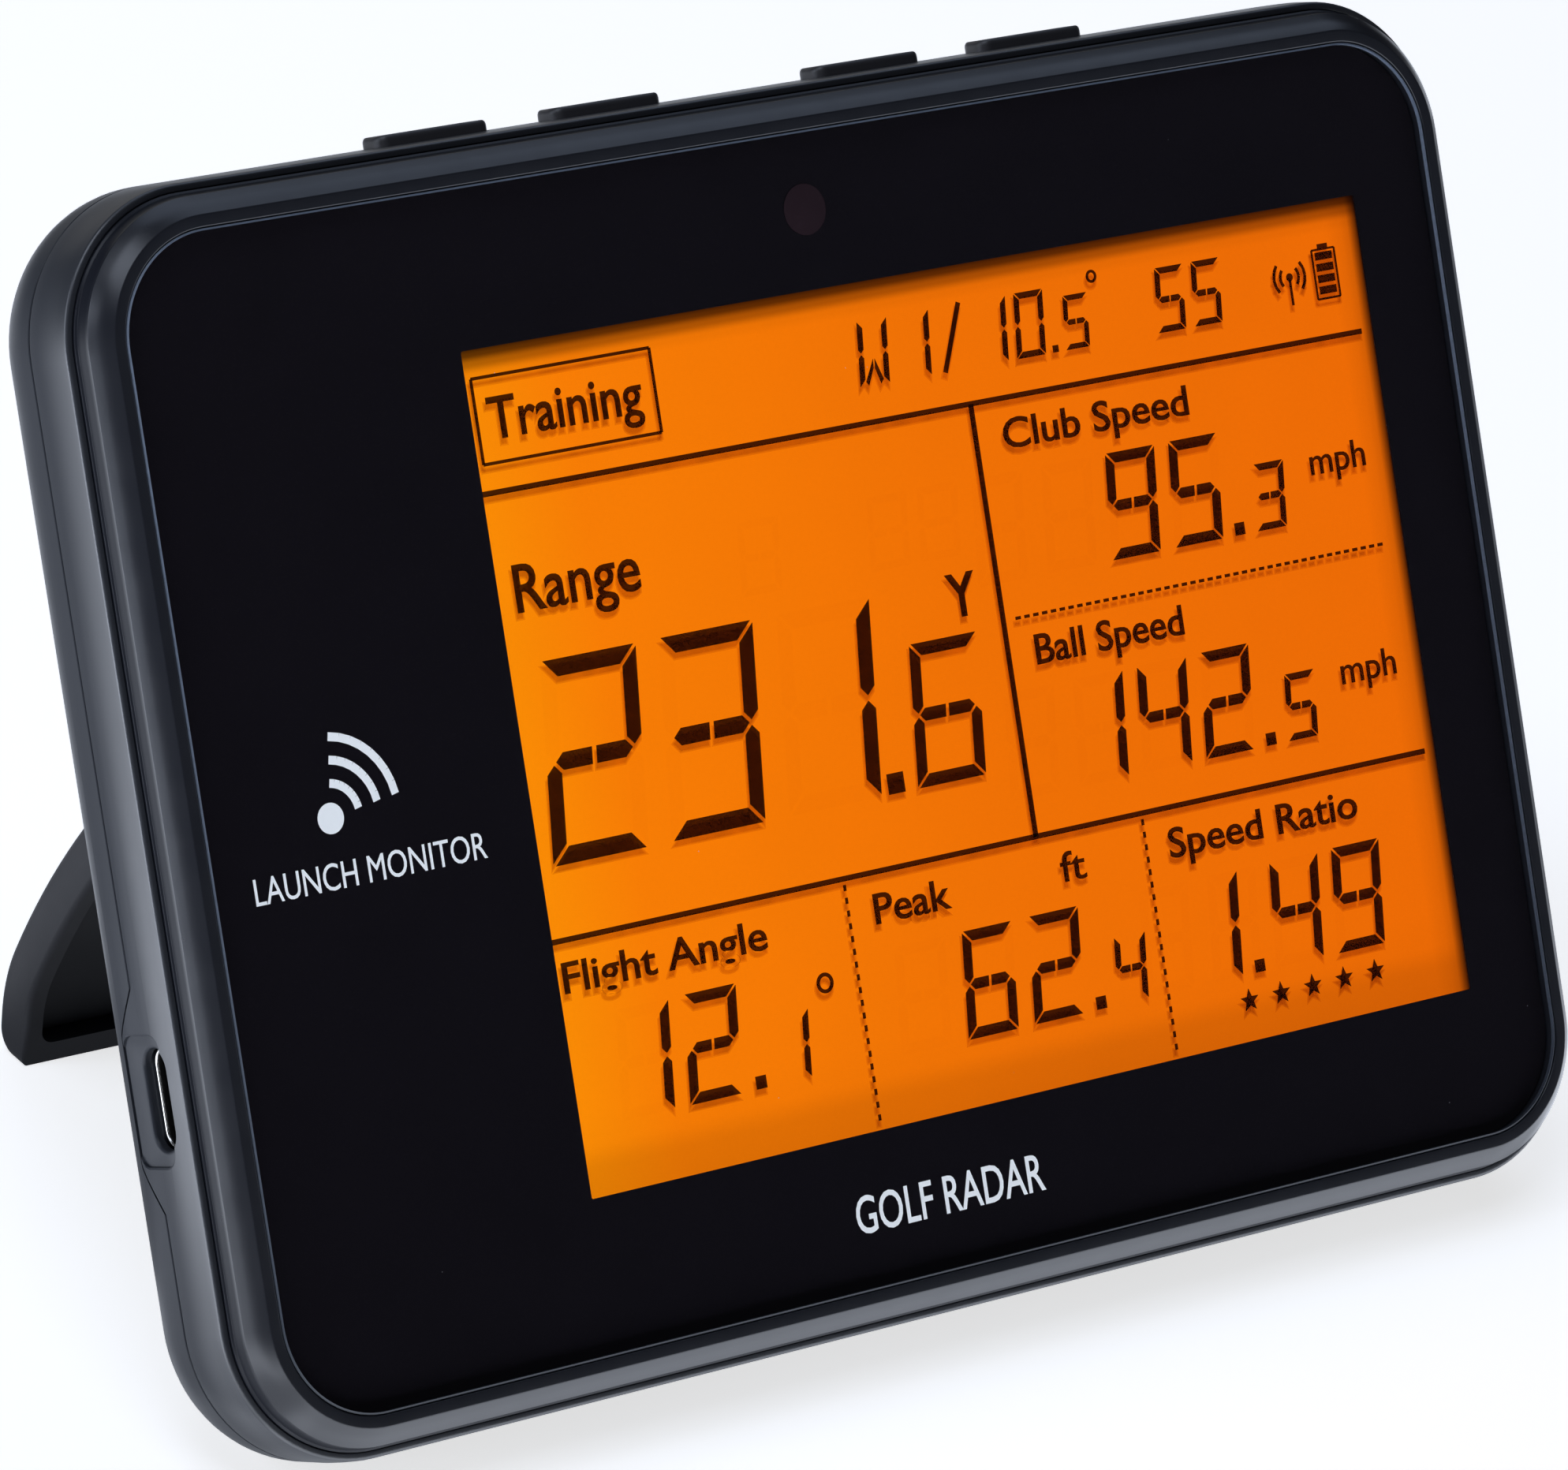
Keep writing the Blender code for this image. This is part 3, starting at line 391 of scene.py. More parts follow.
# painted highlight and shade: how strongly the mouldings shine by depth, over the first 20 millimetres
PAINTED_SHEEN_DEPTH = 20.0
BEZEL_PAINTED_SHEEN = [(0.0, 0.65), (0.085, 0.65), (0.105, 0.22), (0.16, 0.22)]
BODY_PAINTED_SHEEN = [(0.16, 1.0), (0.22, 0.85), (0.40, 0.22), (0.52, 0.25), (0.80, 0.45)]


class Shader:
    """A node material under construction, with short calls for its nodes and links."""

    def __init__(self, name):
        """An empty material with only its output node."""
        self.material = bpy.data.materials.new(name)
        self.material.use_nodes = True
        self.tree = self.material.node_tree
        self.tree.nodes.clear()
        self.output = self.tree.nodes.new("ShaderNodeOutputMaterial")

    def node(self, kind, **inputs):
        """Makes a node; an input is a value or another node's output socket."""
        made = self.tree.nodes.new("ShaderNode" + kind)
        for name, value in inputs.items():
            self.set(made, name.replace("_", " "), value)
        return made

    def set(self, made, name, value):
        """Fills the input of a name, or of a number written as i0, i1 and so on."""
        numbered = name[0] == "i" and name[1:].isdigit()
        socket = made.inputs[int(name[1:]) if numbered else name]
        if isinstance(value, bpy.types.NodeSocket):
            self.tree.links.new(value, socket)
        else:
            socket.default_value = value

    def math(self, operation, first, second=0.5, third=0.5, clamp=False):
        """The result of an operation on two values, or on three for MULTIPLY_ADD."""
        made = self.node("Math", i0=first, i1=second, i2=third)
        made.operation = operation
        made.use_clamp = clamp
        return made.outputs[0]

    def times(self, first, second):
        """The product of two values."""
        return self.math("MULTIPLY", first, second)

    def place(self):
        """Coordinates in the piece's own space, in metres."""
        return self.node("TexCoord").outputs["Object"]

    def device_place(self):
        """Coordinates in the device's frame, in metres."""
        at, turn = DEVICE.translation, DEVICE.to_euler()
        made = self.node("Mapping", Vector=self.place(), Location=at, Rotation=turn)
        made.vector_type = "TEXTURE"
        return made.outputs[0]

    def device_axes(self):
        """The x, depth and height outputs of the device's frame, in metres."""
        return self.node("SeparateXYZ", Vector=self.device_place()).outputs

    def noise(self, size_mm, detail=2.0, stretch=None):
        """Noise whose features are about size_mm across, from 0 to 1."""
        where = self.place()
        if stretch:
            where = self.node("Mapping", Vector=where, Scale=stretch).outputs[0]
        made = self.node("TexNoise", Vector=where, Scale=1.0 / (size_mm * MM), Detail=detail)
        return made.outputs["Fac"]

    def ramp(self, fac, stops, interpolation="LINEAR"):
        """A colour ramp of (position, grey or colour) stops."""
        made = self.node("ValToRGB", Fac=fac)
        elements = made.color_ramp.elements
        made.color_ramp.interpolation = interpolation
        while len(elements) < len(stops):
            elements.new(0.5)
        for element, (position, value) in zip(elements, stops):
            element.position = position
            colour = value if isinstance(value, tuple) else (value, value, value)
            element.color = (*colour, 1.0)
        return made.outputs["Color"]

    def mix(self, fac, first, second):
        """A colour mix."""
        made = self.tree.nodes.new("ShaderNodeMix")
        made.data_type = "RGBA"
        for index, value in ((0, fac), (6, first), (7, second)):
            if isinstance(value, bpy.types.NodeSocket):
                self.tree.links.new(value, made.inputs[index])
            else:
                made.inputs[index].default_value = value
        return made.outputs[2]

    def finish(self, surface):
        """The material, with its surface connected."""
        self.tree.links.new(surface, self.output.inputs["Surface"])
        return self.material


def opaque(colour):
    """A colour with full alpha."""
    return (*colour, 1.0)


def moulded(name, colour, roughness, grain_mm, relief, mottle=0.12, edge_mm=0.12, sheen=0.5, painted_sheen=None):
    """Moulded plastic or rubber: fine spark texture, uneven gloss and softened edges.

    relief is the bump strength of the grain, mottle how much the tone wanders, edge_mm the
    rounding of edges that aren't modelled and sheen the strength of the surface reflection.
    A ramp of sheen by depth, if given, replaces it as stops over the first 20 millimetres: painted
    highlight and shade."""
    s = Shader(name)
    grain = s.noise(grain_mm, 3.0)
    patch = s.noise(9.0, 2.0)
    tone = s.math("MULTIPLY_ADD", patch, mottle * 2, 1.0 - mottle)
    shade = s.node("HueSaturation", Color=opaque(colour), Value=tone).outputs[0]
    speck = s.ramp(grain, [(0.55, 0.0), (0.75, 1.0)])
    shade = s.mix(s.times(speck, 0.10), shade, opaque([c * 2.2 + 0.01 for c in colour]))
    gloss = s.math("MULTIPLY_ADD", s.noise(3.0, 3.0), 0.10, roughness - 0.05)
    bump = s.node("Bump", Strength=relief, Distance=0.05 * MM, Height=grain)
    if edge_mm:
        rounded = s.node("Bevel", Radius=edge_mm * MM)
        rounded.samples = 4
        s.set(bump, "Normal", rounded.outputs[0])
    shader = s.node("BsdfPrincipled", Base_Color=shade, Roughness=gloss, Normal=bump.outputs[0])
    s.set(shader, "Specular IOR Level", sheen)
    # painted highlight and shade: the sheen follows the depth behind the glass
    if painted_sheen:
        share = s.math("DIVIDE", s.device_axes()[1], PAINTED_SHEEN_DEPTH * MM)
        s.set(shader, "Specular IOR Level", s.ramp(share, painted_sheen, "EASE"))
    return s.finish(shader.outputs[0])


def metal(name, colour, roughness, painted_shade_from_x=None):
    """Sheet metal with fine drawing lines and a faint tarnish, with painted shade beyond a device x in mm.
    """
    s = Shader(name)
    lines = s.noise(0.5, 4.0, (1.0, 1.0, 40.0))
    cloud = s.noise(2.5, 3.0)
    dull = opaque([c * 0.72 for c in colour])
    shade = s.mix(s.ramp(cloud, [(0.45, 0.0), (0.75, 1.0)]), opaque(colour), dull)
    # painted shade inside the receptacle, where little light reaches past its mouth
    if painted_shade_from_x is not None:
        past = s.math("SUBTRACT", s.device_axes()[0], painted_shade_from_x * MM)
        inside = s.math("DIVIDE", past, 0.25 * MM, clamp=True)
        shade = s.mix(inside, shade, opaque([c * 0.10 for c in colour]))
    gloss = s.math("MULTIPLY_ADD", lines, 0.16, roughness - 0.06)
    bump = s.node("Bump", Strength=0.25, Distance=0.02 * MM, Height=lines).outputs[0]
    shader = s.node("BsdfPrincipled", Base_Color=shade, Metallic=1.0, Roughness=gloss, Normal=bump)
    return s.finish(shader.outputs[0])


def clear_window():
    """Clear acrylic with a polished front, a few dust specks and no refraction."""
    s = Shader("window_acrylic")
    back = s.node("NewGeometry").outputs["Backfacing"]
    fresnel = s.times(s.node("Fresnel", IOR=1.47).outputs[0], s.math("SUBTRACT", 1.0, back))
    haze = s.noise(14.0, 2.0)
    gloss = s.times(haze, 0.05)
    mirror = s.node("BsdfGlossy", Color=(1.0, 1.0, 1.0, 1.0), Roughness=gloss).outputs[0]
    through = s.node("BsdfTransparent", Color=(1.0, 1.0, 1.0, 1.0)).outputs[0]
    pane = s.node("MixShader", i0=fresnel, i1=through, i2=mirror).outputs[0]
    cells = s.node("TexVoronoi", Vector=s.place(), Scale=1.0 / (5.0 * MM))
    near = s.math("LESS_THAN", cells.outputs["Distance"], 0.011)
    few = s.math("GREATER_THAN", s.node("SeparateColor", Color=cells.outputs["Color"]).outputs[0], 0.55)
    dust = s.node("BsdfDiffuse", Color=(0.5, 0.5, 0.52, 1.0)).outputs[0]
    share = s.times(s.times(near, few), 0.45)
    return s.finish(s.node("MixShader", i0=share, i1=pane, i2=dust).outputs[0])


def filter_film(name, passing, uneven=0.08):
    """A thin film that lets a share of each colour through. Light crosses both of its faces."""
    s = Shader(name)
    each = opaque([sqrt(share) for share in passing])
    wave = s.noise(2.0, 1.0)
    tone = s.mix(s.times(wave, uneven), each, opaque([0.0] * 3))
    return s.finish(s.node("BsdfTransparent", Color=tone).outputs[0])


def lit_display():
    """The orange light behind the liquid crystal: warmer to the right, with painted shade along its top,
    foot and right end.
    """
    s = Shader("display_light")
    axes = s.device_axes()
    share = s.math("DIVIDE", s.math("SUBTRACT", axes[0], LIT_X[0] * MM), (LIT_X[1] - LIT_X[0]) * MM)
    across = [
        (0.0, (0.990, 0.285, 0.001)),
        (0.13, (0.965, 0.212, 0.001)),
        (0.50, (0.900, 0.172, 0.001)),
        (1.0, (0.880, 0.152, 0.001)),
    ]
    colour = s.ramp(share, across)
    # painted shade: the shadow of the ink's border along the top, darker towards the foot and the right
    # end
    below_top = s.math("DIVIDE", s.math("SUBTRACT", APERTURE_Z[1] * MM, axes[2]), 4.0 * MM)
    top = s.ramp(below_top, [(0.0, 0.06), (0.12, 0.12), (0.32, 0.46), (0.56, 0.92), (0.80, 1.0)], "EASE")
    above_foot = s.math("DIVIDE", s.math("SUBTRACT", axes[2], APERTURE_Z[0] * MM), 8.0 * MM)
    foot = s.ramp(above_foot, [(0.0, 0.78), (0.25, 0.80), (0.60, 0.97), (1.0, 1.0)], "EASE")
    from_right = s.math("DIVIDE", s.math("SUBTRACT", LIT_X[1] * MM, axes[0]), 4.0 * MM)
    right = s.ramp(from_right, [(0.0, 0.04), (0.14, 0.34), (0.29, 0.76), (0.50, 0.89), (0.95, 1.0)])
    edge = s.times(s.times(top, foot), right)
    cloud = s.math("MULTIPLY_ADD", s.noise(12.0, 3.0), 0.06, 0.97)
    grain = s.math("MULTIPLY_ADD", s.noise(0.35, 2.0), 0.05, 0.975)
    strength = s.times(s.times(edge, cloud), grain)
    return s.finish(s.node("Emission", Color=colour, Strength=strength).outputs[0])


def printed(name, colour):
    """Screen-printed ink with a slightly uneven film and a painted glow in place of lamplight."""
    s = Shader(name)
    film = s.ramp(s.noise(0.3, 3.0), [(0.30, 0.86), (0.70, 1.0)])
    shade = s.mix(film, opaque([c * 0.8 for c in colour]), opaque(colour))
    shader = s.node("BsdfPrincipled", Base_Color=shade, Roughness=0.5)
    # painted light: the ink glows to stand in for lamps in front of the glass
    s.set(shader, "Emission Color", opaque(colour))
    s.set(shader, "Emission Strength", PRINT_PAINTED_LIGHT)
    return s.finish(shader.outputs[0])


def ground_edge():
    """The pane's fine-ground edge, lighter towards the top by a painted highlight."""
    s = Shader("ground_edge")
    share = s.math("MULTIPLY_ADD", s.device_axes()[2], 1.0 / (GLASS_H * MM), 0.5)
    # painted highlight: the edge gets lighter towards the top
    shade = s.ramp(share, EDGE_TONE_AND_HIGHLIGHT)
    shade = s.mix(s.times(s.noise(0.8, 2.0), 0.5), shade, opaque((0.03, 0.035, 0.045)))
    return s.finish(s.node("BsdfPrincipled", Base_Color=shade, Roughness=0.5).outputs[0])


def circuit_laminate():
    """Solder mask over copper runs that turn in steps, with a faint glass weave under it."""
    s = Shader("circuit_laminate")
    cells = s.node("TexVoronoi", Vector=s.place(), Scale=1.0 / (3.2 * MM))
    cells.distance = "CHEBYCHEV"
    cells.feature = "F1"
    bands = s.math("FRACT", s.times(cells.outputs["Distance"], 5.0))
    track = s.math("GREATER_THAN", bands, 0.62)
    weave = s.noise(0.4, 2.0, (1.0, 1.0, 3.0))
    mask = s.mix(weave, (0.006, 0.085, 0.034, 1.0), (0.012, 0.125, 0.052, 1.0))
    shade = s.mix(track, mask, (0.03, 0.21, 0.085, 1.0))
    bump = s.node("Bump", Strength=0.3, Distance=0.03 * MM, Height=track).outputs[0]
    return s.finish(s.node("BsdfPrincipled", Base_Color=shade, Roughness=0.34, Normal=bump).outputs[0])


# name, colour, roughness, then grain size, relief, mottle, edge rounding, sheen and the painted sheen by
# depth
MOULDED = {
    "bezel_plastic": ("bezel_satin", (0.010, 0.011, 0.015), 0.30, 0.10, 0.02, 0.08, 0.0, 0.65, BEZEL_PAINTED_SHEEN),
    "body_plastic": ("body_satin", (0.020, 0.022, 0.027), 0.36, 0.13, 0.14, 0.10, 0.0, 0.6, BODY_PAINTED_SHEEN),
    "stand_plastic": ("stand_matt", (0.016, 0.016, 0.019), 0.55, 0.16, 0.22, 0.10, 0.0),
    "button_rubber": ("button_rubber", (0.036, 0.034, 0.037), 0.45, 0.10, 0.15, 0.15, 0.0, 0.8),
    "light_guide": ("guide_acrylic", (0.90, 0.88, 0.84), 0.12, 0.5, 0.05, 0.02),
    "white_plastic": ("tray_white", (0.78, 0.78, 0.76), 0.48, 0.20, 0.15, 0.04),
    "radar_laminate": ("microwave_laminate", (0.60, 0.53, 0.36), 0.45, 0.30, 0.25, 0.08),
    "chip_package": ("chip_resin", (0.016, 0.016, 0.018), 0.46, 0.12, 0.30, 0.10),
    "battery_wrap": ("battery_film", (0.09, 0.11, 0.15), 0.32, 0.80, 0.20, 0.12, 0.2, 0.9),
    "foam": ("closed_foam", (0.020, 0.020, 0.022), 0.92, 0.25, 1.0, 0.20),
    "adhesive": ("black_tape", (0.014, 0.014, 0.015), 0.60, 0.30, 0.20, 0.10),
    "flex_film": ("amber_film", (0.50, 0.20, 0.03), 0.28, 0.40, 0.10, 0.15),
    "wire_red": ("red_insulation", (0.48, 0.02, 0.02), 0.38, 0.20, 0.10, 0.08),
    "wire_black": ("black_insulation", (0.014, 0.014, 0.014), 0.38, 0.20, 0.10, 0.08),
    "speaker_cone": ("pressed_fibre", (0.028, 0.028, 0.030), 0.72, 0.35, 0.80, 0.15),
    "ir_resin": ("infrared_resin", (0.030, 0.012, 0.022), 0.15, 0.40, 0.05, 0.05, 0.0),
    "ink": ("window_ink", (0.0085, 0.0072, 0.0098), 0.60, 0.30, 0.05, 0.10, 0.0, 0.0),
    "sensor_tint": ("sensor_tint", (0.024, 0.014, 0.018), 0.50, 0.60, 0.05, 0.35, 0.0, 0.0),
}


def make_materials():
    """Every finish by the record's slot name, plus the window's edge and print and the films."""
    finish = {slot: moulded(*values) for slot, values in MOULDED.items()}
    finish["front_glass"] = clear_window()
    finish["ground_edge"] = ground_edge()
    finish["lcd_glass"] = lit_display()
    finish["circuit_board"] = circuit_laminate()
    finish["shield_steel"] = metal("tinned_sheet", (0.62, 0.62, 0.60), 0.28)
    # the receptacle's shell gets painted shade inside, past its mouth
    finish["port_steel"] = metal("port_steel", (0.80, 0.78, 0.74), 0.20, USB_MOUTH_X + 0.1)
    finish["screw_steel"] = metal("black_oxide", (0.12, 0.12, 0.13), 0.44)
    finish["print"] = printed("window_print", (0.58, 0.61, 0.64))
    finish["mark"] = filter_film("lit_segments", (0.065, 0.050, 0.05))
    finish["ghost"] = filter_film("resting_segments", (0.995, 0.985, 0.97), 0.006)
    finish["shadow"] = filter_film("segment_shadow", (0.93, 0.86, 0.7))
    return finish


# ---- window and bezel


def window_pane():
    """The clear front: a polished plate with a small rounded edge."""
    section = [(-0.20, 0.0), (-0.10, 0.02), (-0.03, 0.09), (0.0, 0.20), (0.0, 1.26)]
    return solid("window_pane", loft([ring(margin, depth) for margin, depth in section]))


def pane_edge():
    """The ground edge of the pane, a hair's breadth wide, that catches the light."""
    section = [(-0.13, -0.01), (0.04, 0.10), (0.04, 0.40), (-0.13, 0.40)]
    return solid("pane_edge", loft([ring(margin, depth) for margin, depth in section], True))


def window_ink():
    """The black print behind the pane, with the opening for the display."""
    opening = [flat_ring(APERTURE_X, APERTURE_Z, 0.2, depth, CORNER_STEPS) for depth in INK_D]
    outside = [ring(-0.05, depth) for depth in INK_D]
    return solid("window_ink", loft(outside + opening[::-1], True))


def bezel_trim():
    """The frame round the glass: flat land, sloping bevel, short side and a seat for the glass."""
    seat_d, inner_m, foot_d = 1.76, -3.2, 4.6
    section = [
        (0.15, seat_d, 0.0),
        (0.15, 0.0, 0.12),
        (1.22, 0.0, 0.30),
        (2.12, 0.70, 4.5),
        (2.93, 1.70, 0.14),
        (3.16, 2.95, 0.10),
        (3.36, 3.12, 0.09),
        (3.36, foot_d, 0.0),
        (inner_m, foot_d, 0.0),
        (inner_m, seat_d, 0.0),
    ]
    rings = [ring(m, d) for m, d in soften(section, 5)]
    return solid("bezel_trim", loft(rings, True))


# ---- housing and port


def body_envelope(inset=0.0):
    """The outer form of the whole body from the ledge to the back."""
    rings = [ring(BODY_M - inset, LEDGE_D)]
    rings += arc_rings(BODY_M - REAR_ARC_R, REAR_ARC_R - inset, 0, 90)
    return solid("envelope", loft(rings))


def port_tab(gap):
    """The tongue of the housing that carries the port, tapering at both ends, grown by gap."""
    low, high = PORT_PAD_Z
    rear = PORT_PAD_D[1] + gap
    front = PARTING_D - SEAM / 2 - 0.6
    toe = PORT_TAB_TOE * (rear - front) / (PORT_PAD_D[1] - PARTING_D) + gap
    section = [
        (front, low - toe, 0.0),
        (rear, low - gap, 0.9),
        (rear, high + gap, 0.9),
        (front, high + toe, 0.0),
    ]
    x_range = (-BODY_M - GLASS_W / 2 - 2, -GLASS_W / 2 - 1.3 - gap)
    return bar_along_x(soften(section, 5), x_range)


def stadium(width, height, x):
    """A stadium-shaped ring in the plane of the left side, round the port's axis."""
    points = outline(width, height, width / 2 - 0.01, 10)
    return [Vector((x, PORT_D + a, PORT_Z + b)) for a, b in points]


def port_slot():
    """The mouth of the port as a cutter that leaves a rounded lip."""
    height, width = PORT_SLOT
    rings = [stadium(width + 2 * PORT_LIP, height + 2 * PORT_LIP, -80.0)]
    for step in range(6):
        angle = radians(18.0 * step)
        grow = PORT_LIP * (1 - sin(angle))
        x = PORT_PAD_X + PORT_LIP * (1 - cos(angle))
        rings.append(stadium(width + 2 * grow, height + 2 * grow, x))
    rings.append(stadium(width, height, -72.0))
    return solid("port_slot", loft(rings))


def port_pad():
    """The flat pad round the port, cut with a sloping edge."""
    depth = PORT_PAD_D[1] - PORT_PAD_D[0]
    height = PORT_PAD_Z[1] - PORT_PAD_Z[0]
    d, z = sum(PORT_PAD_D) / 2, sum(PORT_PAD_Z) / 2
    rings = []
    for grow, back in PORT_PAD_EDGE:
        x = PORT_PAD_X - back
        points = outline(depth + 2 * grow, height + 2 * grow, 1.3 + grow, 8)
        rings.append([Vector((x, d + a, z + b)) for a, b in points])
    return solid("port_pad", loft(rings))


def button_cutters():
    """For each button a slot through the wall and a wider pocket behind it, as one solid."""
    width, deep = BUTTON_SIZE
    slot_w, slot_d = width + 0.5, deep + 0.5
    pocket_w, pocket_d = width + 2 * BUTTON_FLANGE + 0.6, deep + BUTTON_FLANGE + 0.6
    low, high = BUTTON_POCKET_Z
    cutters = []
    for where in BUTTONS:
        x = button_x(where)
        rings = []
        for w, d, r, z in (
            (pocket_w, pocket_d, 0.4, low),
            (pocket_w, pocket_d, 0.4, high),
            (slot_w, slot_d, 1.4, high),
            (slot_w, slot_d, 1.4, 58.0),
        ):
            rings.append([Vector((x + a, BUTTON_D + b, z)) for a, b in outline(w, d, r, 6)])
        cutters.append(solid("slot", loft(rings)))
    return cutters


def corner_bars(name, radius, d_range, steps=28):
    """A round bar in each corner, for the screws and their posts."""
    return [solid(name, cylinder(at, radius, d_range, steps)) for at in CORNER_POSTS]


def side_housing():
    """The visible side wall, with a shelf that carries the bezel and posts for the corner screws."""
    section = [
        (3.42, LEDGE_D, 0.10),
        (4.12, LEDGE_D, 0.34),
        (4.34, 6.0, 26.0),
        (BODY_M, PARTING_D - SEAM / 2, 0.07),
        (2.25, PARTING_D - SEAM / 2, 0.0),
        (2.25, 6.25, 0.0),
        (-5.0, 6.25, 0.0),
        (-5.0, 4.75, 0.0),
        (3.42, 4.75, 0.0),
    ]
    housing = solid("side_housing", loft([ring(m, d) for m, d in soften(section, 5)], True))
    join(housing, *corner_bars("post", POST_R, FRONT_POST_D))
    tab = combine(solid("tab", port_tab(0.0)), [body_envelope()], "INTERSECT")
    join(housing, tab)
    cut(housing, port_pad())
    cut(housing, port_slot())
    cut(housing, solid("pocket", box(*PORT_POCKET)), *button_cutters())
    cut(housing, *corner_bars("pilot", PILOT_R, (5.6, 9.5), 16))
    return housing


def usb_receptacle():
    """The drawn steel shell of the receptacle, open at its mouth, with a rolled rim."""
    height, width, length = USB_SHELL
    mouth, back = USB_MOUTH_X, USB_MOUTH_X + USB_SHELL[2]
    inner_w, inner_h = width - 2 * USB_SHELL_T, height - 2 * USB_SHELL_T
    rings = [stadium(inner_w, inner_h, back - 0.5)]
    for step in range(7):
        angle = radians(30.0 * step)
        grow = USB_SHELL_T * (1 - cos(angle)) / 2
        x = mouth + USB_SHELL_T / 2 * (1 - sin(angle))
        rings.append(stadium(inner_w + 2 * grow, inner_h + 2 * grow, x))
    rings.append(stadium(width, height, mouth + length))
    return solid("usb_receptacle", loft(rings))


def usb_contacts():
    """Gilt contact strips on both faces of the receptacle's tongue."""
    low, high = device_box("usb_tongue")
    bm = bmesh.new()
    for face in (low.y - 0.03, high.y + 0.03):
        for i in range(6):
            z_range = around(PORT_Z + (i - 2.5) * CONTACT_PITCH, CONTACT_W)
            corners = rectangle((low.x + 0.3, high.x - 1.0), z_range)
            skin(bm, [laid(corners, d) for d in around(face, 0.05)])
    return solid("usb_contacts", bm)


# ---- back shell


def bulge(inset, d_range, edge):
    """The raised back, shrunk by inset, with a soft edge at its top."""
    half = STAND_W / 2 - inset
    z_low, z_high = BULGE_Z[0] + inset, BULGE_Z[1] - inset
    rings = [flat_ring((-half, half), (z_low, z_high), BULGE_R - inset, d_range[0], 12)]
    for step in range(8):
        angle = radians(90.0 * step / 7)
        back = edge * (1 - cos(angle))
        depth = d_range[1] - edge * (1 - sin(angle))
        across, up = (-half + back, half - back), (z_low + back * 0.4, z_high - back)
        rings.append(flat_ring(across, up, BULGE_R - inset - back, depth, 12))
    return solid("bulge", loft(rings))


def grille_cutters():
    """Sound holes over the speaker: a centre hole and two rings round it."""
    cutters = []
    for radius, count, offset in GRILLE:
        for i in range(count):
            angle = radians(offset + 360.0 * i / count)
            at = (SPEAKER_X + radius * cos(angle), SPEAKER_Z + radius * sin(angle))
            cutters.append(solid("hole", cylinder(at, GRILLE_HOLE_R, (19.5, 24.0), 18)))
    return cutters


def foot_notch():
    """The hollow across the lower rear edge that takes the folded stand's foot."""
    floor, lip, rear, below = NOTCH_D, NOTCH_Z, NOTCH_D + 6.0, -60.0
    section = [
        (floor, below, 0.0),
        (floor, lip - 3.2, 1.2),
        (floor + 1.6, lip - 0.8, 1.5),
        (rear, lip + 0.6, 0.0),
        (rear, below, 0.0),
    ]
    half = STAND_W / 2 + NOTCH_GAP
    return solid("notch", bar_along_x(soften(section, 5), (-half, half)))


def knuckles():
    """Two lugs on the back that carry the hinge pins."""
    made = []
    for side in (-1, 1):
        x_range = (side * (KNUCKLE_X[0] + 0.3), side * (KNUCKLE_X[1] - 0.3))
        rounded = circle(HINGE_D, HINGE_Z, KNUCKLE_R, 40)
        eye = [(d, z) for d, z in rounded if d > HINGE_D - 0.01]
        eye.sort(key=lambda point: point[1])
        foot = [(KNUCKLE_FOOT_D, HINGE_Z + KNUCKLE_R), (KNUCKLE_FOOT_D, HINGE_Z - KNUCKLE_R)]
        made.append(solid("lug", bar_along_x(eye + foot, x_range)))
    return made


def back_shell():
    """The back: locating lip, rounded edge, raised back, foot notch, hinge lugs and screw posts."""
    edge_m = BODY_M - REAR_ARC_R
    start_d = PARTING_D + SEAM / 2
    inner = arc_rings(edge_m, REAR_ARC_R - WALL, 90, 0)
    lip = [(1.3, 9.6), (1.3, 7.5), (2.05, 7.5), (2.05, start_d)]
    lip += [(BODY_M - 0.07, start_d), (BODY_M, start_d + 0.07)]
    outer = arc_rings(edge_m, REAR_ARC_R, 0, 90)
    shell = solid("back_shell", loft(inner + [ring(m, d) for m, d in lip] + outer))
    lining_x = around(0.0, STAND_W + 2 * (NOTCH_GAP + NOTCH_WALL))
    lining = solid("lining", box(lining_x, NOTCH_LINING_D, NOTCH_LINING_Z))
    join(shell, combine(lining, [body_envelope(0.6)], "INTERSECT"))
    join(shell, bulge(0.0, (16.0, BULGE_D), BULGE_EDGE))
    join(shell, *corner_bars("post", POST_R, REAR_POST_D))
    cut(shell, bulge(WALL, (14.0, BULGE_D - WALL), 0.8))
    cut(shell, foot_notch())
    join(shell, *knuckles())
    bore = circle(HINGE_D, HINGE_Z, PIN_R + RUNNING)
    cut(shell, *[solid("bore", bar_along_x(bore, (side * 36.0, side * 46.0))) for side in (-1, 1)])
    cut(shell, solid("spring_pocket", box(*SPRING_POCKET)))
    cut(shell, solid("port_gap", port_tab(SEAM)))
    cut(shell, solid("lip_gap", box(*PORT_LIP_GAP)), *button_cutters(), *grille_cutters())
    cut(shell, *corner_bars("clear", CLEARANCE_R, (9.0, 19.0), 16))
    cut(shell, *corner_bars("sink", SINK_R, (13.4, 19.0)))
    return shell


# ---- buttons


def button_x(where):
    """The middle of a key along the top edge."""
    low, high = device_box("button_" + where)
    return (low.x + high.x) / 2


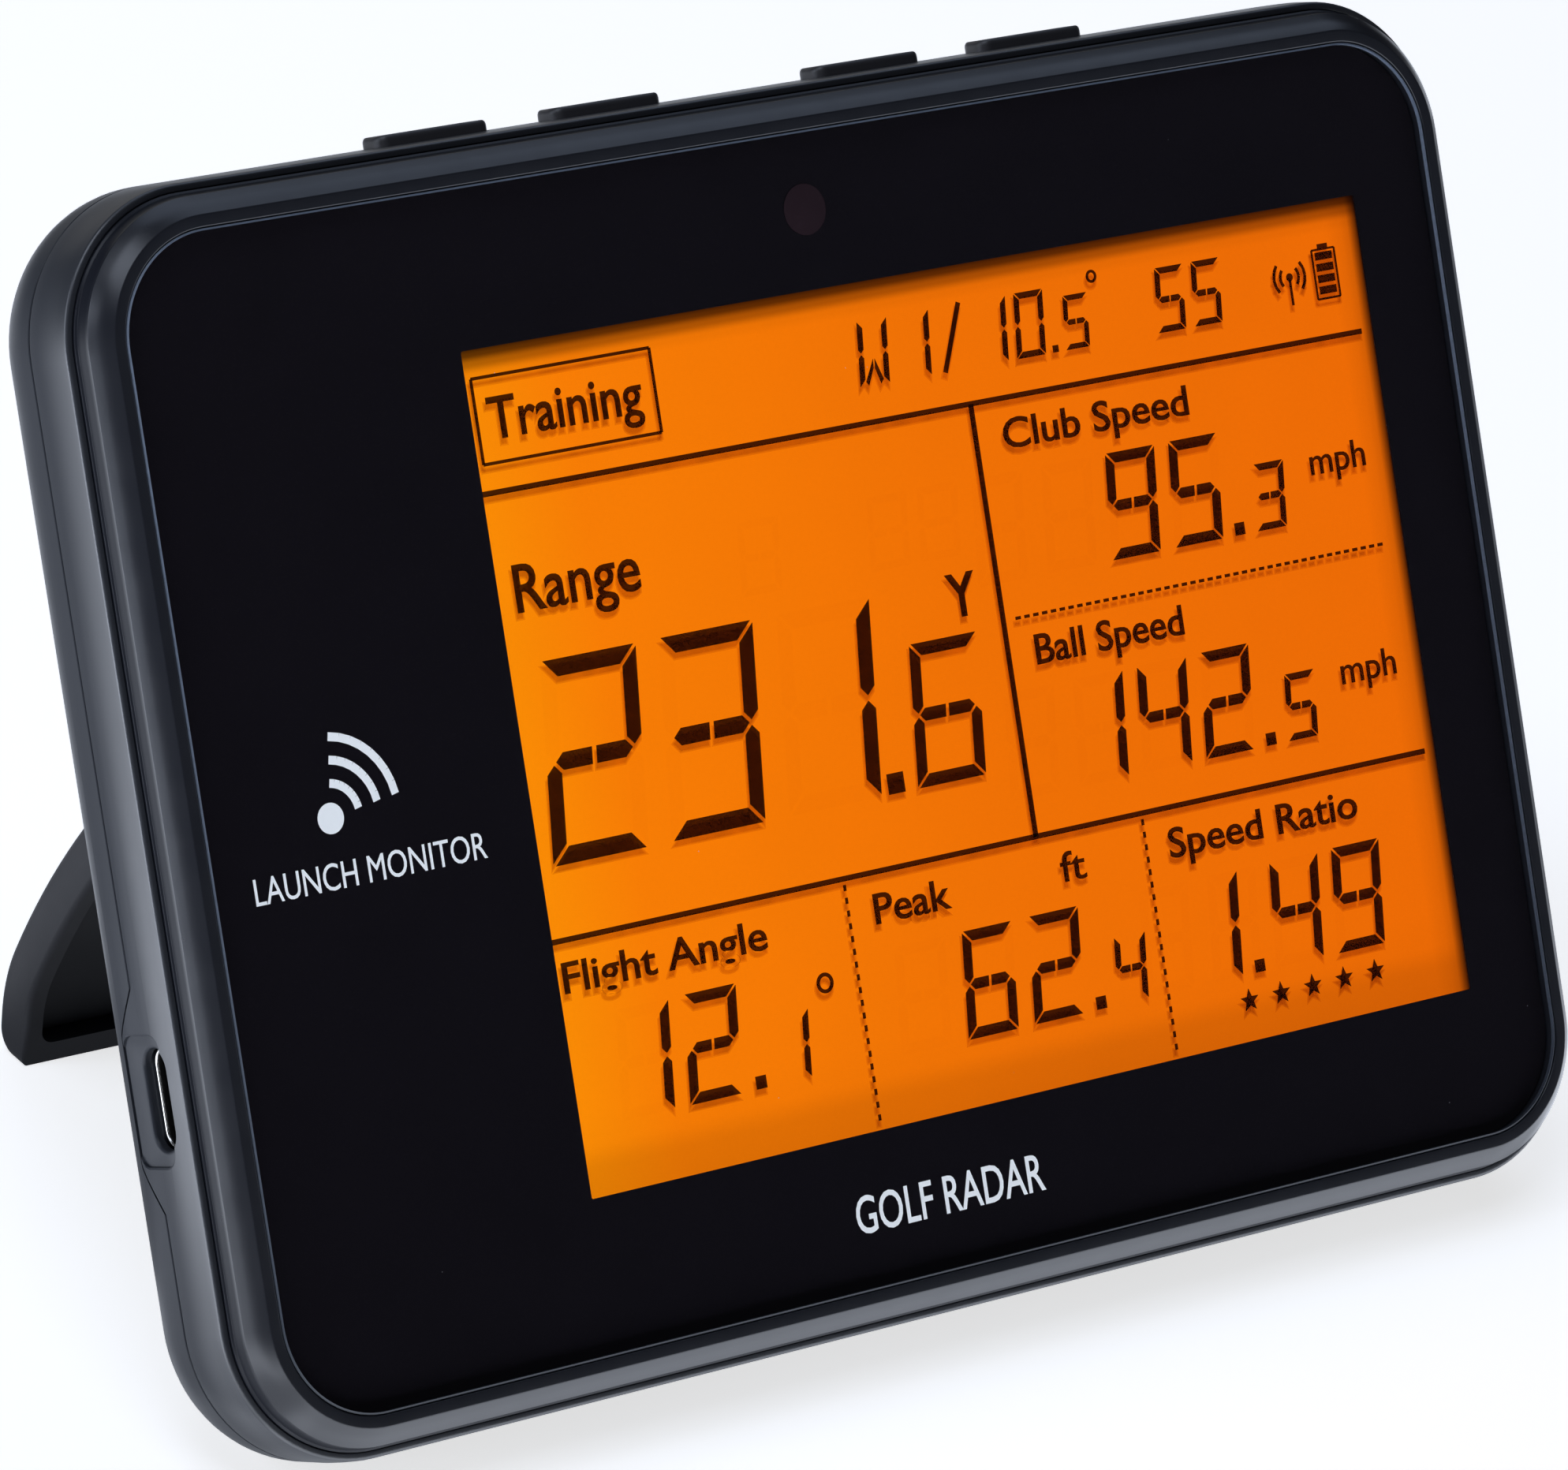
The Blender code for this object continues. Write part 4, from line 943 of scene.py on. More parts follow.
def button_key(where):
    """A rubber key: a flange behind the wall and a stem through it with a soft, dished top."""
    x = button_x(where)
    flange_top = BUTTON_FLANGE_Z + BUTTON_FLANGE_T
    levels = [(BUTTON_FLANGE, BUTTON_FLANGE_Z), (BUTTON_FLANGE, flange_top), (0.0, flange_top)]
    for step in range(6):
        angle = radians(18.0 * step)
        levels.append((-0.5 * (1 - cos(angle)), BUTTON_TOP - 0.5 * (1 - sin(angle))))
    levels.append((-0.9, BUTTON_TOP - 0.04))
    rings = []
    for grow, z in levels:
        points = outline(BUTTON_SIZE[0] + 2 * grow, BUTTON_SIZE[1] + grow, 1.2 + min(grow, 0.0), 8)
        rings.append([Vector((x + a, BUTTON_D + b, z)) for a, b in points])
    return solid("key_" + where, loft(rings))


# ---- kickstand


def lean_deg():
    """How far the glass leans back from upright."""
    return degrees(asin((DEVICE.to_3x3() @ Vector((0.0, 1.0, 0.0))).z) * -1)


def height_of(d, z):
    """Height of a device point above the table, in millimetres."""
    return (DEVICE @ (Vector((0.0, d, z)) * MM)).z / MM


def follow_arc(point, heading, radius, turn, steps):
    """Points of a clockwise arc from a point with a heading, and the heading it ends on."""
    centre_dir = radians(heading - 90.0)
    cx = point[0] + radius * cos(centre_dir)
    cz = point[1] + radius * sin(centre_dir)
    points = []
    for step in range(1, steps + 1):
        out = radians(heading + 90.0 - turn * step / steps)
        points.append((cx + radius * cos(out), cz + radius * sin(out)))
    return points, heading - turn


def stand_curve(depth, short=0.0):
    """The stand's outer curve, offset inwards by depth, its last arc cut short by a length."""
    out = radians(STAND_HEADING + 90.0)
    reach = BARREL_R - depth
    points = [(HINGE_D + reach * cos(out), HINGE_Z + reach * sin(out))]
    heading = STAND_HEADING
    last_radius, last_turn = STAND_ARCS[-1]
    arcs = STAND_ARCS[:-1] + [(last_radius, last_turn - degrees(short / last_radius))]
    for radius, turn in arcs:
        added, heading = follow_arc(points[-1], heading, radius - depth, turn, STAND_STEPS)
        points += added
    return points, heading


def down_to(point, heading, height):
    """The step along a heading that takes a point to a height above the table."""
    drop = max(0.02, (height_of(*point) - height) / sin(radians(lean_deg() - heading)))
    return cos(radians(heading)) * drop, sin(radians(heading)) * drop


def stand_side(inset, lift):
    """The closed side view of the stand without its barrel, shrunk by inset, its sole at lift."""
    short = 1.1 * lift
    outer, heading = stand_curve(inset, short)
    sole_heading = lean_deg() - 180.0
    corner, _ = follow_arc(outer[-1], heading, SOLE_CORNER_R - inset, heading - sole_heading, 8)
    down = down_to(corner[-1], heading, inset + lift)
    corner = [(d + down[0], z + down[1]) for d, z in [outer[-1]] + corner]
    along = radians(sole_heading)
    heel = (corner[-1][0] + SOLE_W * cos(along), corner[-1][1] + SOLE_W * sin(along))
    inner, _ = stand_curve(STAND_DEPTH - inset, short)
    return outer + corner + [heel] + inner[::-1]


def stand_hollow(inset):
    """The side view of the space inside the tray-shaped stand, shrunk by inset off its floor."""
    sides = []
    for depth in (STAND_SKIN + inset, STAND_DEPTH + 2.0):
        curve, heading = stand_curve(depth)
        curve = [Vector(point) for point in curve]
        down = Vector(down_to(curve[-1], heading, STAND_RIM + inset))
        curve[2] = curve[2].lerp(curve[3], min(1.0, 0.4 * inset))
        sides.append(curve[2:] + [curve[-1] + down])
    return sides[0] + sides[1][::-1]


def rise(radius, distance):
    """How far an edge of a radius has curved away, at a distance in from its side."""
    reach = max(0.0, radius - distance)
    return radius - sqrt(radius * radius - reach * reach)


def stand_blank():
    """The stand before it is hollowed: soft long edges and rounded lower corners."""
    half = STAND_W / 2
    edge = [STAND_EDGE * (1 - cos(radians(15 * step))) for step in range(6)]
    corner = [STAND_EDGE + (STAND_CORNER_R - STAND_EDGE) * step / 5 for step in range(6)]
    distances = edge + corner
    rings = []
    for side, order in ((-1, distances), (1, distances[::-1])):
        for distance in order:
            outline_side = stand_side(rise(STAND_EDGE, distance), rise(STAND_CORNER_R, distance))
            rings.append([Vector((side * (half - distance), d, z)) for d, z in outline_side])
    return solid("stand_tray", loft(rings))


def stand_tray():
    """A shallow tray with a hinge barrel along its top edge and slots for the two lugs."""
    half = STAND_W / 2
    stand = stand_blank()
    rings = []
    for side in (-1, 1):
        for step in range(7)[::side]:
            angle = radians(15 * step)
            inset = STAND_FILLET * (1 - cos(angle))
            x = side * (half - STAND_SKIN - STAND_FILLET * (1 - sin(angle)))
            rings.append([Vector((x, d, z)) for d, z in stand_hollow(inset)])
    cut(stand, solid("hollow", loft(rings)))
    barrel = bar_along_x(circle(HINGE_D, HINGE_Z, BARREL_R, 40), (-half + 0.4, half - 0.4))
    join(stand, solid("barrel", barrel))
    clear = circle(HINGE_D, HINGE_Z, KNUCKLE_R + 0.7, 40)
    bore = circle(HINGE_D, HINGE_Z, PIN_R + 0.05)
    for side in (-1, 1):
        cut(stand, solid("slot", bar_along_x(clear, (side * KNUCKLE_X[0], side * KNUCKLE_X[1]))))
        cut(stand, solid("bore", bar_along_x(bore, (side * 34.8, side * 60.0))))
    return stand


# ---- display content

GAP_SHARE = 0.16
SLANT = 0.105
LIT_BARS = {
    "0": "abcdef",
    "1": "bc",
    "2": "abgjed",
    "3": "abgjcd",
    "4": "fgjbc",
    "5": "afgjcd",
    "6": "afgjedc",
    "9": "abgjcdf",
    "W": "febckm",
    "8": "abcdefgj",
}


def digit_bars(width, height, thick):
    """The bars of a digit, by letter, as polygons of (x, z) points from its lower left corner."""
    w, h, t = width, height, thick
    g, m = thick * GAP_SHARE, height / 2
    top = [(g, h), (w - g, h), (w - t - g, h - t), (t + g, h - t)]
    foot = m + t / 2 + g
    upper = [(w, h - g), (w - t, h - t - g), (w - t, foot), (w - t / 2, m + g), (w, foot)]
    end = w / 2 - g
    middle = [(t / 2 + g, m), (t + g, m + t / 2), (end, m + t / 2), (end, m - t / 2), (t + g, m - t / 2)]
    strut = [(t + g, t * 0.8), (w / 2 - g, m - t), (w / 2 - g, m - t * 2.4), (t * 1.5 + g, g)]

    def turned(points, flip_x, flip_z):
        """A bar mirrored within the digit."""
        return [(w - x if flip_x else x, h - z if flip_z else z) for x, z in points]

    return {
        "a": top,
        "d": turned(top, False, True),
        "b": upper,
        "c": turned(upper, False, True),
        "f": turned(upper, True, False),
        "e": turned(upper, True, True),
        "g": middle,
        "j": turned(middle, True, False),
        "k": strut,
        "m": turned(strut, True, False),
    }


def grown(points, grow):
    """A convex polygon with each side moved out by grow."""
    area = sum(a[0] * b[1] - b[0] * a[1] for a, b in zip(points, points[1:] + points[:1]))
    turn = 1 if area > 0 else -1
    moved = []
    for i, (x, z) in enumerate(points):
        before = (Vector((x, z)) - Vector(points[i - 1])).normalized()
        after = (Vector(points[(i + 1) % len(points)]) - Vector((x, z))).normalized()
        normals = [Vector((side.y, -side.x)) * turn for side in (before, after)]
        share = max(0.35, 1 + normals[0].dot(normals[1]))
        moved.append(Vector((x, z)) + (normals[0] + normals[1]) * grow / share)
    return moved


class Sheet:
    """A thin layer of flat shapes between two depths, placed by where the eye sees them."""

    def __init__(self, d_range, grow=0.0, shift=(0.0, 0.0)):
        """An empty layer whose shapes come out wider by grow and moved by shift."""
        self.bm = bmesh.new()
        self.d_range = d_range
        self.grow = grow
        self.shift = shift

    def seen(self, x, z):
        """The point of this layer that the photograph's camera sees through (x, z) of the glass."""
        eye = DEVICE.inverted() @ CAMERA_AT / MM
        share = (self.d_range[0] - eye.y) / (0.0 - eye.y)
        dx, dz = self.shift
        return eye.x + (x - eye.x) * share + dx, eye.z + (z - eye.z) * share + dz

    def polygon(self, points):
        """A convex shape."""
        flat = [self.seen(*point) for point in grown(points, self.grow)]
        skin(self.bm, [laid(flat, d) for d in self.d_range])

    def bar(self, start, end, width):
        """A straight line of a width."""
        along = Vector(end) - Vector(start)
        side = Vector((-along.y, along.x)).normalized() * width / 2
        start, end = Vector(start), Vector(end)
        self.polygon([tuple(p) for p in (start - side, end - side, end + side, start + side)])

    def line(self, points, width):
        """Straight lines of a width from point to point."""
        for start, end in zip(points, points[1:]):
            self.bar(start, end, width)

    def border(self, x_range, z_range, width):
        """The outline of a rectangle, in lines of a width."""
        corners = rectangle(x_range, z_range)
        self.line(corners + corners[:1], width)

    def annulus(self, centre, inner, outer):
        """A flat ring, or nearly a disc if inner is 0."""
        front, rear = self.d_range
        inner, outer = max(inner - self.grow, 0.01), outer + self.grow
        rings = []
        for radius, d in ((inner, front), (outer, front), (outer, rear), (inner, rear)):
            rings.append(laid([self.seen(x, z) for x, z in circle(*centre, radius, 28)], d))
        skin(self.bm, rings, True)

    def digit(self, char, left, base, width, height, thick):
        """One slanted character made of its lit bars."""
        bars = digit_bars(width, height, thick)
        for letter in LIT_BARS[char]:
            slanted = [(left + x + SLANT * z, base + z) for x, z in bars[letter]]
            self.polygon(slanted)

    def digits(self, chars, lefts, base, size):
        """Characters of one size on a base line, each from its left edge."""
        for char, left in zip(chars, lefts):
            self.digit(char, left, base, *size)

    def dot(self, left, base, size):
        """A square point."""
        self.polygon(rectangle((left, left + size), (base, base + size)))

    def star(self, centre, radius):
        """Five points and the pentagon between them."""
        tips = arc(centre, radius, fifths(0.0))
        notch = arc(centre, 0.42 * radius, fifths(0.5))
        for i in range(5):
            self.polygon([notch[i - 1], tips[i], notch[i], centre])

    def words(self, text, left, base, cap, width, weight=0.0):
        """A line of text with a capital height and an overall width, both in millimetres."""
        scale = cap / capital_height()
        front, rear = self.d_range
        mesh = text_mesh(text, (self.grow + weight) / scale, (rear - front) / 2 / scale)
        reach = [vertex.co.x for vertex in mesh.vertices]
        start, span = min(reach), max(reach) - min(reach)
        squeeze = (width + 2 * self.grow) / (span * scale)
        middle = (front + rear) / 2
        for vertex in mesh.vertices:
            flat_x = left - self.grow + (vertex.co.x - start) * scale * squeeze
            x, z = self.seen(flat_x, base + vertex.co.y * scale)
            vertex.co = (x, middle - vertex.co.z * scale, z)
        self.bm.from_mesh(mesh)
        bpy.data.meshes.remove(mesh)

    def finish(self, name):
        """The layer as an object."""
        return solid(name, self.bm)


def fifths(offset):
    """Five angles, clockwise from the top, turned by a share of one step."""
    return [pi / 2 - 2 * pi * (i + offset) / 5 for i in range(5)]


def text_mesh(text, weight, half_depth):
    """A text's mesh at size 1, thickened by weight, in Blender's own font."""
    curve = bpy.data.curves.new("words", "FONT")
    curve.body = text
    curve.offset = weight
    curve.extrude = half_depth
    curve.resolution_u = 4
    obj = linked("words", curve)
    graph = bpy.context.evaluated_depsgraph_get()
    mesh = bpy.data.meshes.new_from_object(obj.evaluated_get(graph))
    bpy.data.objects.remove(obj, do_unlink=True)
    bpy.data.curves.remove(curve)
    return mesh


def capital_height():
    """The height of a capital letter at size 1."""
    mesh = text_mesh("H", 0.0, 0.0)
    height = max(vertex.co.y for vertex in mesh.vertices)
    bpy.data.meshes.remove(mesh)
    return height


# digit sizes: width, height and bar thickness
BIG = (10.3, 17.75, 1.54)
TENTH = (7.7, 12.8, 1.15)
READING = (5.7, 9.65, 0.97)
SMALL = (3.55, 6.1, 0.64)
STATUS = (3.3, 5.9, 0.58)
LOFT = (2.8, 4.9, 0.5)
MEMORY = (4.5, 6.6, 0.7)
# left edges and base lines of the digits
BIG_LEFTS = (-37.25, -24.45, -11.45)
BIG_BASE = -8.3
SIDE_LEFTS = (21.0, 28.45, 35.85)
SIDE_BASES = (8.3, -11.2)
FOOT_BASE = -31.35
STATUS_BASE = 27.8
RULE = 0.50
THIN_RULE = 0.30
# text, left edge, base line, capital height, width and added weight
LABELS = [
    ("Training", -36.85, 29.2, 3.6, 16.5, 0.06),
    ("Range", -36.85, 14.0, 4.1, 13.4, 0.06),
    ("Y", 9.35, 6.1, 3.75, 3.3, 0.10),
    ("Club Speed", 18.3, 20.05, 2.65, 21.5, 0.05),
    ("Ball Speed", 18.3, 0.45, 2.65, 17.2, 0.05),
    ("mph", 52.9, 12.4, 2.5, 6.6, 0.025),
    ("mph", 52.9, -7.1, 2.5, 6.6, 0.025),
    ("Flight Angle", -38.1, -19.35, 2.65, 22.2, 0.05),
    ("Peak", -3.85, -19.35, 2.65, 8.6, 0.05),
    ("ft", 17.4, -19.35, 2.65, 2.9, 0.025),
    ("Speed Ratio", 30.05, -19.35, 2.65, 22.4, 0.05),
]


def big_reading(sheet):
    """The main distance, its last digit smaller."""
    sheet.digits("231", BIG_LEFTS, BIG_BASE, BIG)
    sheet.dot(-0.3, BIG_BASE, 1.85)
    sheet.digit("6", 3.0, BIG_BASE, *TENTH)


def side_readings(sheet):
    """Two speeds, one over the other."""
    for digits, base in zip(("953", "1425"), SIDE_BASES):
        sheet.digits(digits, SIDE_LEFTS[1 - len(digits) :], base, READING)
        sheet.dot(43.05, base, 1.15)
        sheet.digit(digits[-1], 45.6, base, *SMALL)


def foot_readings(sheet):
    """Three readings along the lower edge."""
    sheet.digits("1262149", (-34.15, -26.75, 4.35, 11.95, 30.6, 40.25, 47.65), FOOT_BASE, READING)
    for left in (-19.45, 19.15, 37.85):
        sheet.dot(left, FOOT_BASE, 1.15)
    sheet.digits("14", (-16.9, 21.6), FOOT_BASE, SMALL)
    sheet.annulus((-10.4, -23.45), 0.58, 0.93)


def status_line(sheet):
    """Club, loft and count along the top, with signal and charge symbols."""
    sheet.digits("W11055", (3.35, 8.1, 16.9, 21.2, 37.6, 41.9), STATUS_BASE, STATUS)
    sheet.bar((12.95, STATUS_BASE), (15.5, STATUS_BASE + 6.0), 0.5)
    sheet.dot(25.35, STATUS_BASE, 0.65)
    sheet.digit("5", 26.8, STATUS_BASE, *LOFT)
    sheet.annulus((30.9, 34.0), 0.34, 0.6)
    signal_symbol(sheet)
    charge_symbol(sheet)


def signal_symbol(sheet):
    """A mast with two waves on each side."""
    x, top, head = 53.75, 30.4, 30.7
    sheet.bar((x, 28.1), (x, top), 0.26)
    sheet.annulus((x, head), 0.0, 0.38)
    for facing in (180, 0):
        angles = [radians(facing + turn) for turn in (-42, -21, 0, 21, 42)]
        for radius in (1.1, 1.85):
            sheet.line(arc((x, head), radius, angles), THIN_RULE)


def charge_symbol(sheet):
    """A battery outline with its bars."""
    left, right, low, high = 56.75, 59.45, 28.2, 32.75
    sheet.border((left, right), (low, high), 0.2)
    sheet.polygon(rectangle((57.5, 58.7), (high + 0.1, high + 0.5)))
    for i in range(4):
        z = low + 0.42 + i * 1.05
        sheet.polygon(rectangle((left + 0.35, right - 0.35), (z, z + 0.72)))


def rules(sheet):
    """Solid and dotted lines between the fields, and the box round the mode."""
    sheet.bar((-39.4, 24.63), (61.3, 24.63), RULE)
    sheet.bar((15.2, 24.6), (15.2, -14.8), RULE * 1.1)
    sheet.bar((-39.4, -14.75), (61.4, -14.75), RULE)
    for i in range(43):
        x = 16.6 + i * 1.02
        sheet.bar((x, 4.9), (x + 0.6, 4.9), THIN_RULE)
    for x in (-6.7, 27.45):
        for i in range(19):
            z = -15.3 - i * 1.15
            sheet.bar((x, z), (x, z - 0.55), THIN_RULE)
    sheet.border((-38.05, -18.85), (27.15, 34.65), THIN_RULE)


def lit_content(sheet):
    """Everything the display shows dark."""
    for part in (big_reading, side_readings, foot_readings, status_line, rules):
        part(sheet)
    for label in LABELS:
        sheet.words(*label)
    for i in range(5):
        sheet.star((36.65 + i * 3.78, -33.7), 1.1)
    return sheet


def ghost_content(sheet):
    """All the bars of the digit places, and of three places that stay off, barely visible."""
    sheet.digits("888", BIG_LEFTS, BIG_BASE, BIG)
    for base in SIDE_BASES:
        sheet.digits("8888", (13.0, *SIDE_LEFTS), base, READING)
    sheet.digits("8888888", (24.8, 32.8, 40.25, 47.65, -34.15, -3.3, 4.35), FOOT_BASE, READING)
    sheet.digits("888", (-13.0, 1.4, 7.1), 11.5, MEMORY)
    return sheet


def display_pieces(finish):
    """The lit plate, and before it the marks, the resting digit places and soft shadows."""
    plate = solid("display_light", loft([flat_ring(LIT_X, LIT_Z, 0.2, depth, 4) for depth in LIGHT_D]))
    show(plate, "housing", finish["lcd_glass"], ["lcd_panel"])
    marks = lit_content(Sheet(MARK_D)).finish("display_marks")
    show(marks, "housing", finish["mark"])
    resting = ghost_content(Sheet(GHOST_D)).finish("display_resting_marks")
    show(resting, "housing", finish["ghost"])
    for i, grow in enumerate(SHADOW_GROWTH):
        depth = [limit + SHADOW_STEP * i for limit in SHADOW_D]
        shadow = lit_content(Sheet(depth, grow, SHADOW_SHIFT)).finish(f"display_shadow_{i + 1}")
        show(shadow, "housing", finish["shadow"])


def window_print():
    """A plain ball with three waves and plain words on the back of the pane."""
    sheet = Sheet(PRINT_D)
    ball = (-59.3, -0.2)
    sheet.annulus(ball, 0.0, 1.35)
    angles = [radians(8 + 9.25 * step) for step in range(9)]
    for radius in (3.0, 5.0, 7.0):
        sheet.line(arc(ball, radius, angles), 0.75)
    sheet.words("LAUNCH MONITOR", -68.1, -6.3, 2.3, 24.2)
    sheet.words("GOLF RADAR", -10.9, -46.1, 3.3, 21.3, 0.03)
    return sheet.finish("window_print")


def sensor_disc():
    """The tinted spot in front of the remote-control receiver."""
    sheet = Sheet(SENSOR_D)
    sheet.annulus((0.2, 44.3), 0.0, 2.3)
    return sheet.finish("sensor_disc")


# ---- carried-over CAD nodes


def smooth_tree():
    """A node group that joins the import's split corners and smooths all but sharp edges."""
    tree = bpy.data.node_groups.new("tidy_shading", "GeometryNodeTree")
    for way in ("INPUT", "OUTPUT"):
        tree.interface.new_socket("Geometry", in_out=way, socket_type="NodeSocketGeometry")
    start = tree.nodes.new("NodeGroupInput")
    weld = tree.nodes.new("GeometryNodeMergeByDistance")
    weld.inputs["Distance"].default_value = 1e-6
    faces = tree.nodes.new("GeometryNodeSetShadeSmooth")
    edges = tree.nodes.new("GeometryNodeSetShadeSmooth")
    edges.domain = "EDGE"
    edges.inputs["Shade Smooth"].default_value = False
    chain = [start, weld, faces, edges, tree.nodes.new("NodeGroupOutput")]
    for before, after in zip(chain, chain[1:]):
        tree.links.new(before.outputs[0], after.inputs["Geometry"])
    angle = tree.nodes.new("GeometryNodeInputMeshEdgeAngle")
    sharp = tree.nodes.new("FunctionNodeCompare")
    sharp.inputs[1].default_value = radians(SHARP_DEG)
    tree.links.new(angle.outputs["Unsigned Angle"], sharp.inputs[0])
    tree.links.new(sharp.outputs[0], edges.inputs["Selection"])
    return tree


def dress_cad_nodes(finish):
    """Gives every CAD node its slot's finish and clean shading."""
    tree = smooth_tree()
    slots = {part["node"]: part["material_slot"] for part in frame["record"]["subparts"]}
    for name, node in frame["nodes"].items():
        node.data.materials.clear()
        node.data.materials.append(finish[slots[name]])
        modifier = node.modifiers.new("tidy_shading", "NODES")
        modifier.node_group = tree


# ---- stage

# places in row metres
OBJECT_CENTRE = (0.0, 0.0, 0.05)
COOL = (0.88, 0.97, 1.15)
# name, place, size, radiance, tint and aim
LIGHTS = [
    ("overhead", (0.40, 0.40, 0.95), (0.9, 0.7), 0.72, (0.80, 0.95, 1.25), OBJECT_CENTRE),
    ("upper_left", (-0.30, -0.08, 0.80), (0.50, 0.36), 2.4, COOL, OBJECT_CENTRE),
    ("left_key", (-0.95, 0.15, 0.45), (0.4, 0.5), 3.0, COOL, OBJECT_CENTRE),
    ("left_strip", (-0.50, -0.03, 0.06), (0.16, 0.11), 8.0, COOL, (0.0, 0.0, 0.06)),
    ("back", (0.3, 1.1, 0.4), (1.2, 0.6), 0.35, (1.0, 1.0, 1.0), OBJECT_CENTRE),
]
WALL_TINT = (0.9, 0.9, 1.0)
WALL_LIGHT = 0.02
WALL_SEEN = 0.85
FLOOR_HALF = 3.0
FLOOR_TONE = 0.90
FLOOR_LIFT = 0.70
GLOW_TINT = (0.90, 0.96, 1.08)
# The floor's glow as ramp stops. LEFT goes by bearing about the body's left side, from the left
# (0) round the back to the right (1), NEAR by distance left of that side, RIGHT by x, FAR by y
# and AHEAD by distance in front of the middle.
LEFT_SIDE_X = -0.0765
GLOW_LEFT = [(0.0, 2.6), (0.20, 2.6), (0.27, 0.5), (0.36, 0.5), (0.46, 1.0), (1.0, 1.2)]
GLOW_NEAR = [(0.0, 1.0), (0.02, 0.42), (0.22, 0.45), (0.50, 1.35), (0.80, 1.35), (1.0, 1.0)]
GLOW_RIGHT = [(0.35, 1.0), (0.70, 0.26)]
GLOW_FAR = [(0.30, 1.0), (0.60, 0.35)]
GLOW_AHEAD = [(0.55, 0.0), (0.85, 1.0)]
GLOW_FRONT = 2.0
AHEAD_FROM_X = -0.072
BEHIND_Y = 0.17
# the painted shadow under the object: half sizes, middle, and how its edge fades
UNDER_HALF = (0.080, 0.044)
UNDER_Y = 0.004
UNDER_FADE = [(0.46, 0.26), (0.54, 1.0)]


def softbox(name, at, size, radiance, tint, aim):
    """An area light with a given radiance, turned towards a point."""
    data = bpy.data.lights.new(name, "AREA")
    data.shape = "RECTANGLE"
    data.size, data.size_y = size
    data.energy = radiance * pi * size[0] * size[1]
    data.color = tint
    light = linked(name, data)
    light.location = at
    light.rotation_euler = (Vector(aim) - Vector(at)).to_track_quat("-Z", "Y").to_euler()


def floor_glow(s):
    """What the floor sends back to the object: bright to the left and in front, dim elsewhere."""
    axes = s.node("SeparateXYZ", Vector=s.place()).outputs
    from_left = s.math("SUBTRACT", axes[0], LEFT_SIDE_X)
    bearing = s.math("ARCTAN2", axes[1], s.times(from_left, -1.0))
    left = s.ramp(s.math("DIVIDE", bearing, pi), GLOW_LEFT, "EASE")
    right = s.ramp(s.math("MULTIPLY_ADD", axes[0], 2.0, 0.5), GLOW_RIGHT, "EASE")
    right = s.math("MAXIMUM", right, s.math("GREATER_THAN", axes[1], BEHIND_Y))
    ahead = s.ramp(s.math("MULTIPLY_ADD", axes[1], -10.0, 0.5), GLOW_AHEAD, "EASE")
    ahead = s.times(ahead, s.math("GREATER_THAN", axes[0], AHEAD_FROM_X))
    near = s.ramp(s.times(from_left, -10.0), GLOW_NEAR, "EASE")
    far = s.ramp(axes[1], GLOW_FAR, "EASE")
    side = s.times(s.times(left, right), s.times(near, far))
    pattern = s.mix(ahead, side, opaque((GLOW_FRONT,) * 3))
    # the glow carries a painted shadow under the object
    return s.times(s.node("SeparateColor", Color=pattern).outputs[0], under(s, axes))


def under(s, axes):
    """Painted shadow: the floor's glow is dim under the object and 1 outside its footprint."""
    across = s.math("DIVIDE", s.math("ABSOLUTE", axes[0]), UNDER_HALF[0])
    away = s.math("ABSOLUTE", s.math("SUBTRACT", axes[1], UNDER_Y))
    along = s.math("DIVIDE", away, UNDER_HALF[1])
    return s.ramp(s.times(s.math("MAXIMUM", across, along), 0.5), UNDER_FADE)


def floor_finish():
    """A pale floor that stays near white in the picture and lights the object from below."""
    s = Shader("pale_floor")
    seen = s.node("LightPath").outputs["Is Camera Ray"]
    grain = s.math("MULTIPLY_ADD", s.noise(2.0, 2.0), 0.01, FLOOR_TONE)
    tone = s.node("CombineColor", Red=grain, Green=grain, Blue=grain).outputs[0]
    paper = s.node("BsdfDiffuse", Color=tone).outputs[0]
    lift = s.node("Emission", Color=opaque((1.0, 1.0, 1.0)), Strength=FLOOR_LIFT).outputs[0]
    view = s.node("AddShader", i0=paper, i1=lift).outputs[0]
    glow = s.node("Emission", Color=opaque(GLOW_TINT), Strength=floor_glow(s)).outputs[0]
    return s.finish(s.node("MixShader", i0=seen, i1=glow, i2=view).outputs[0])


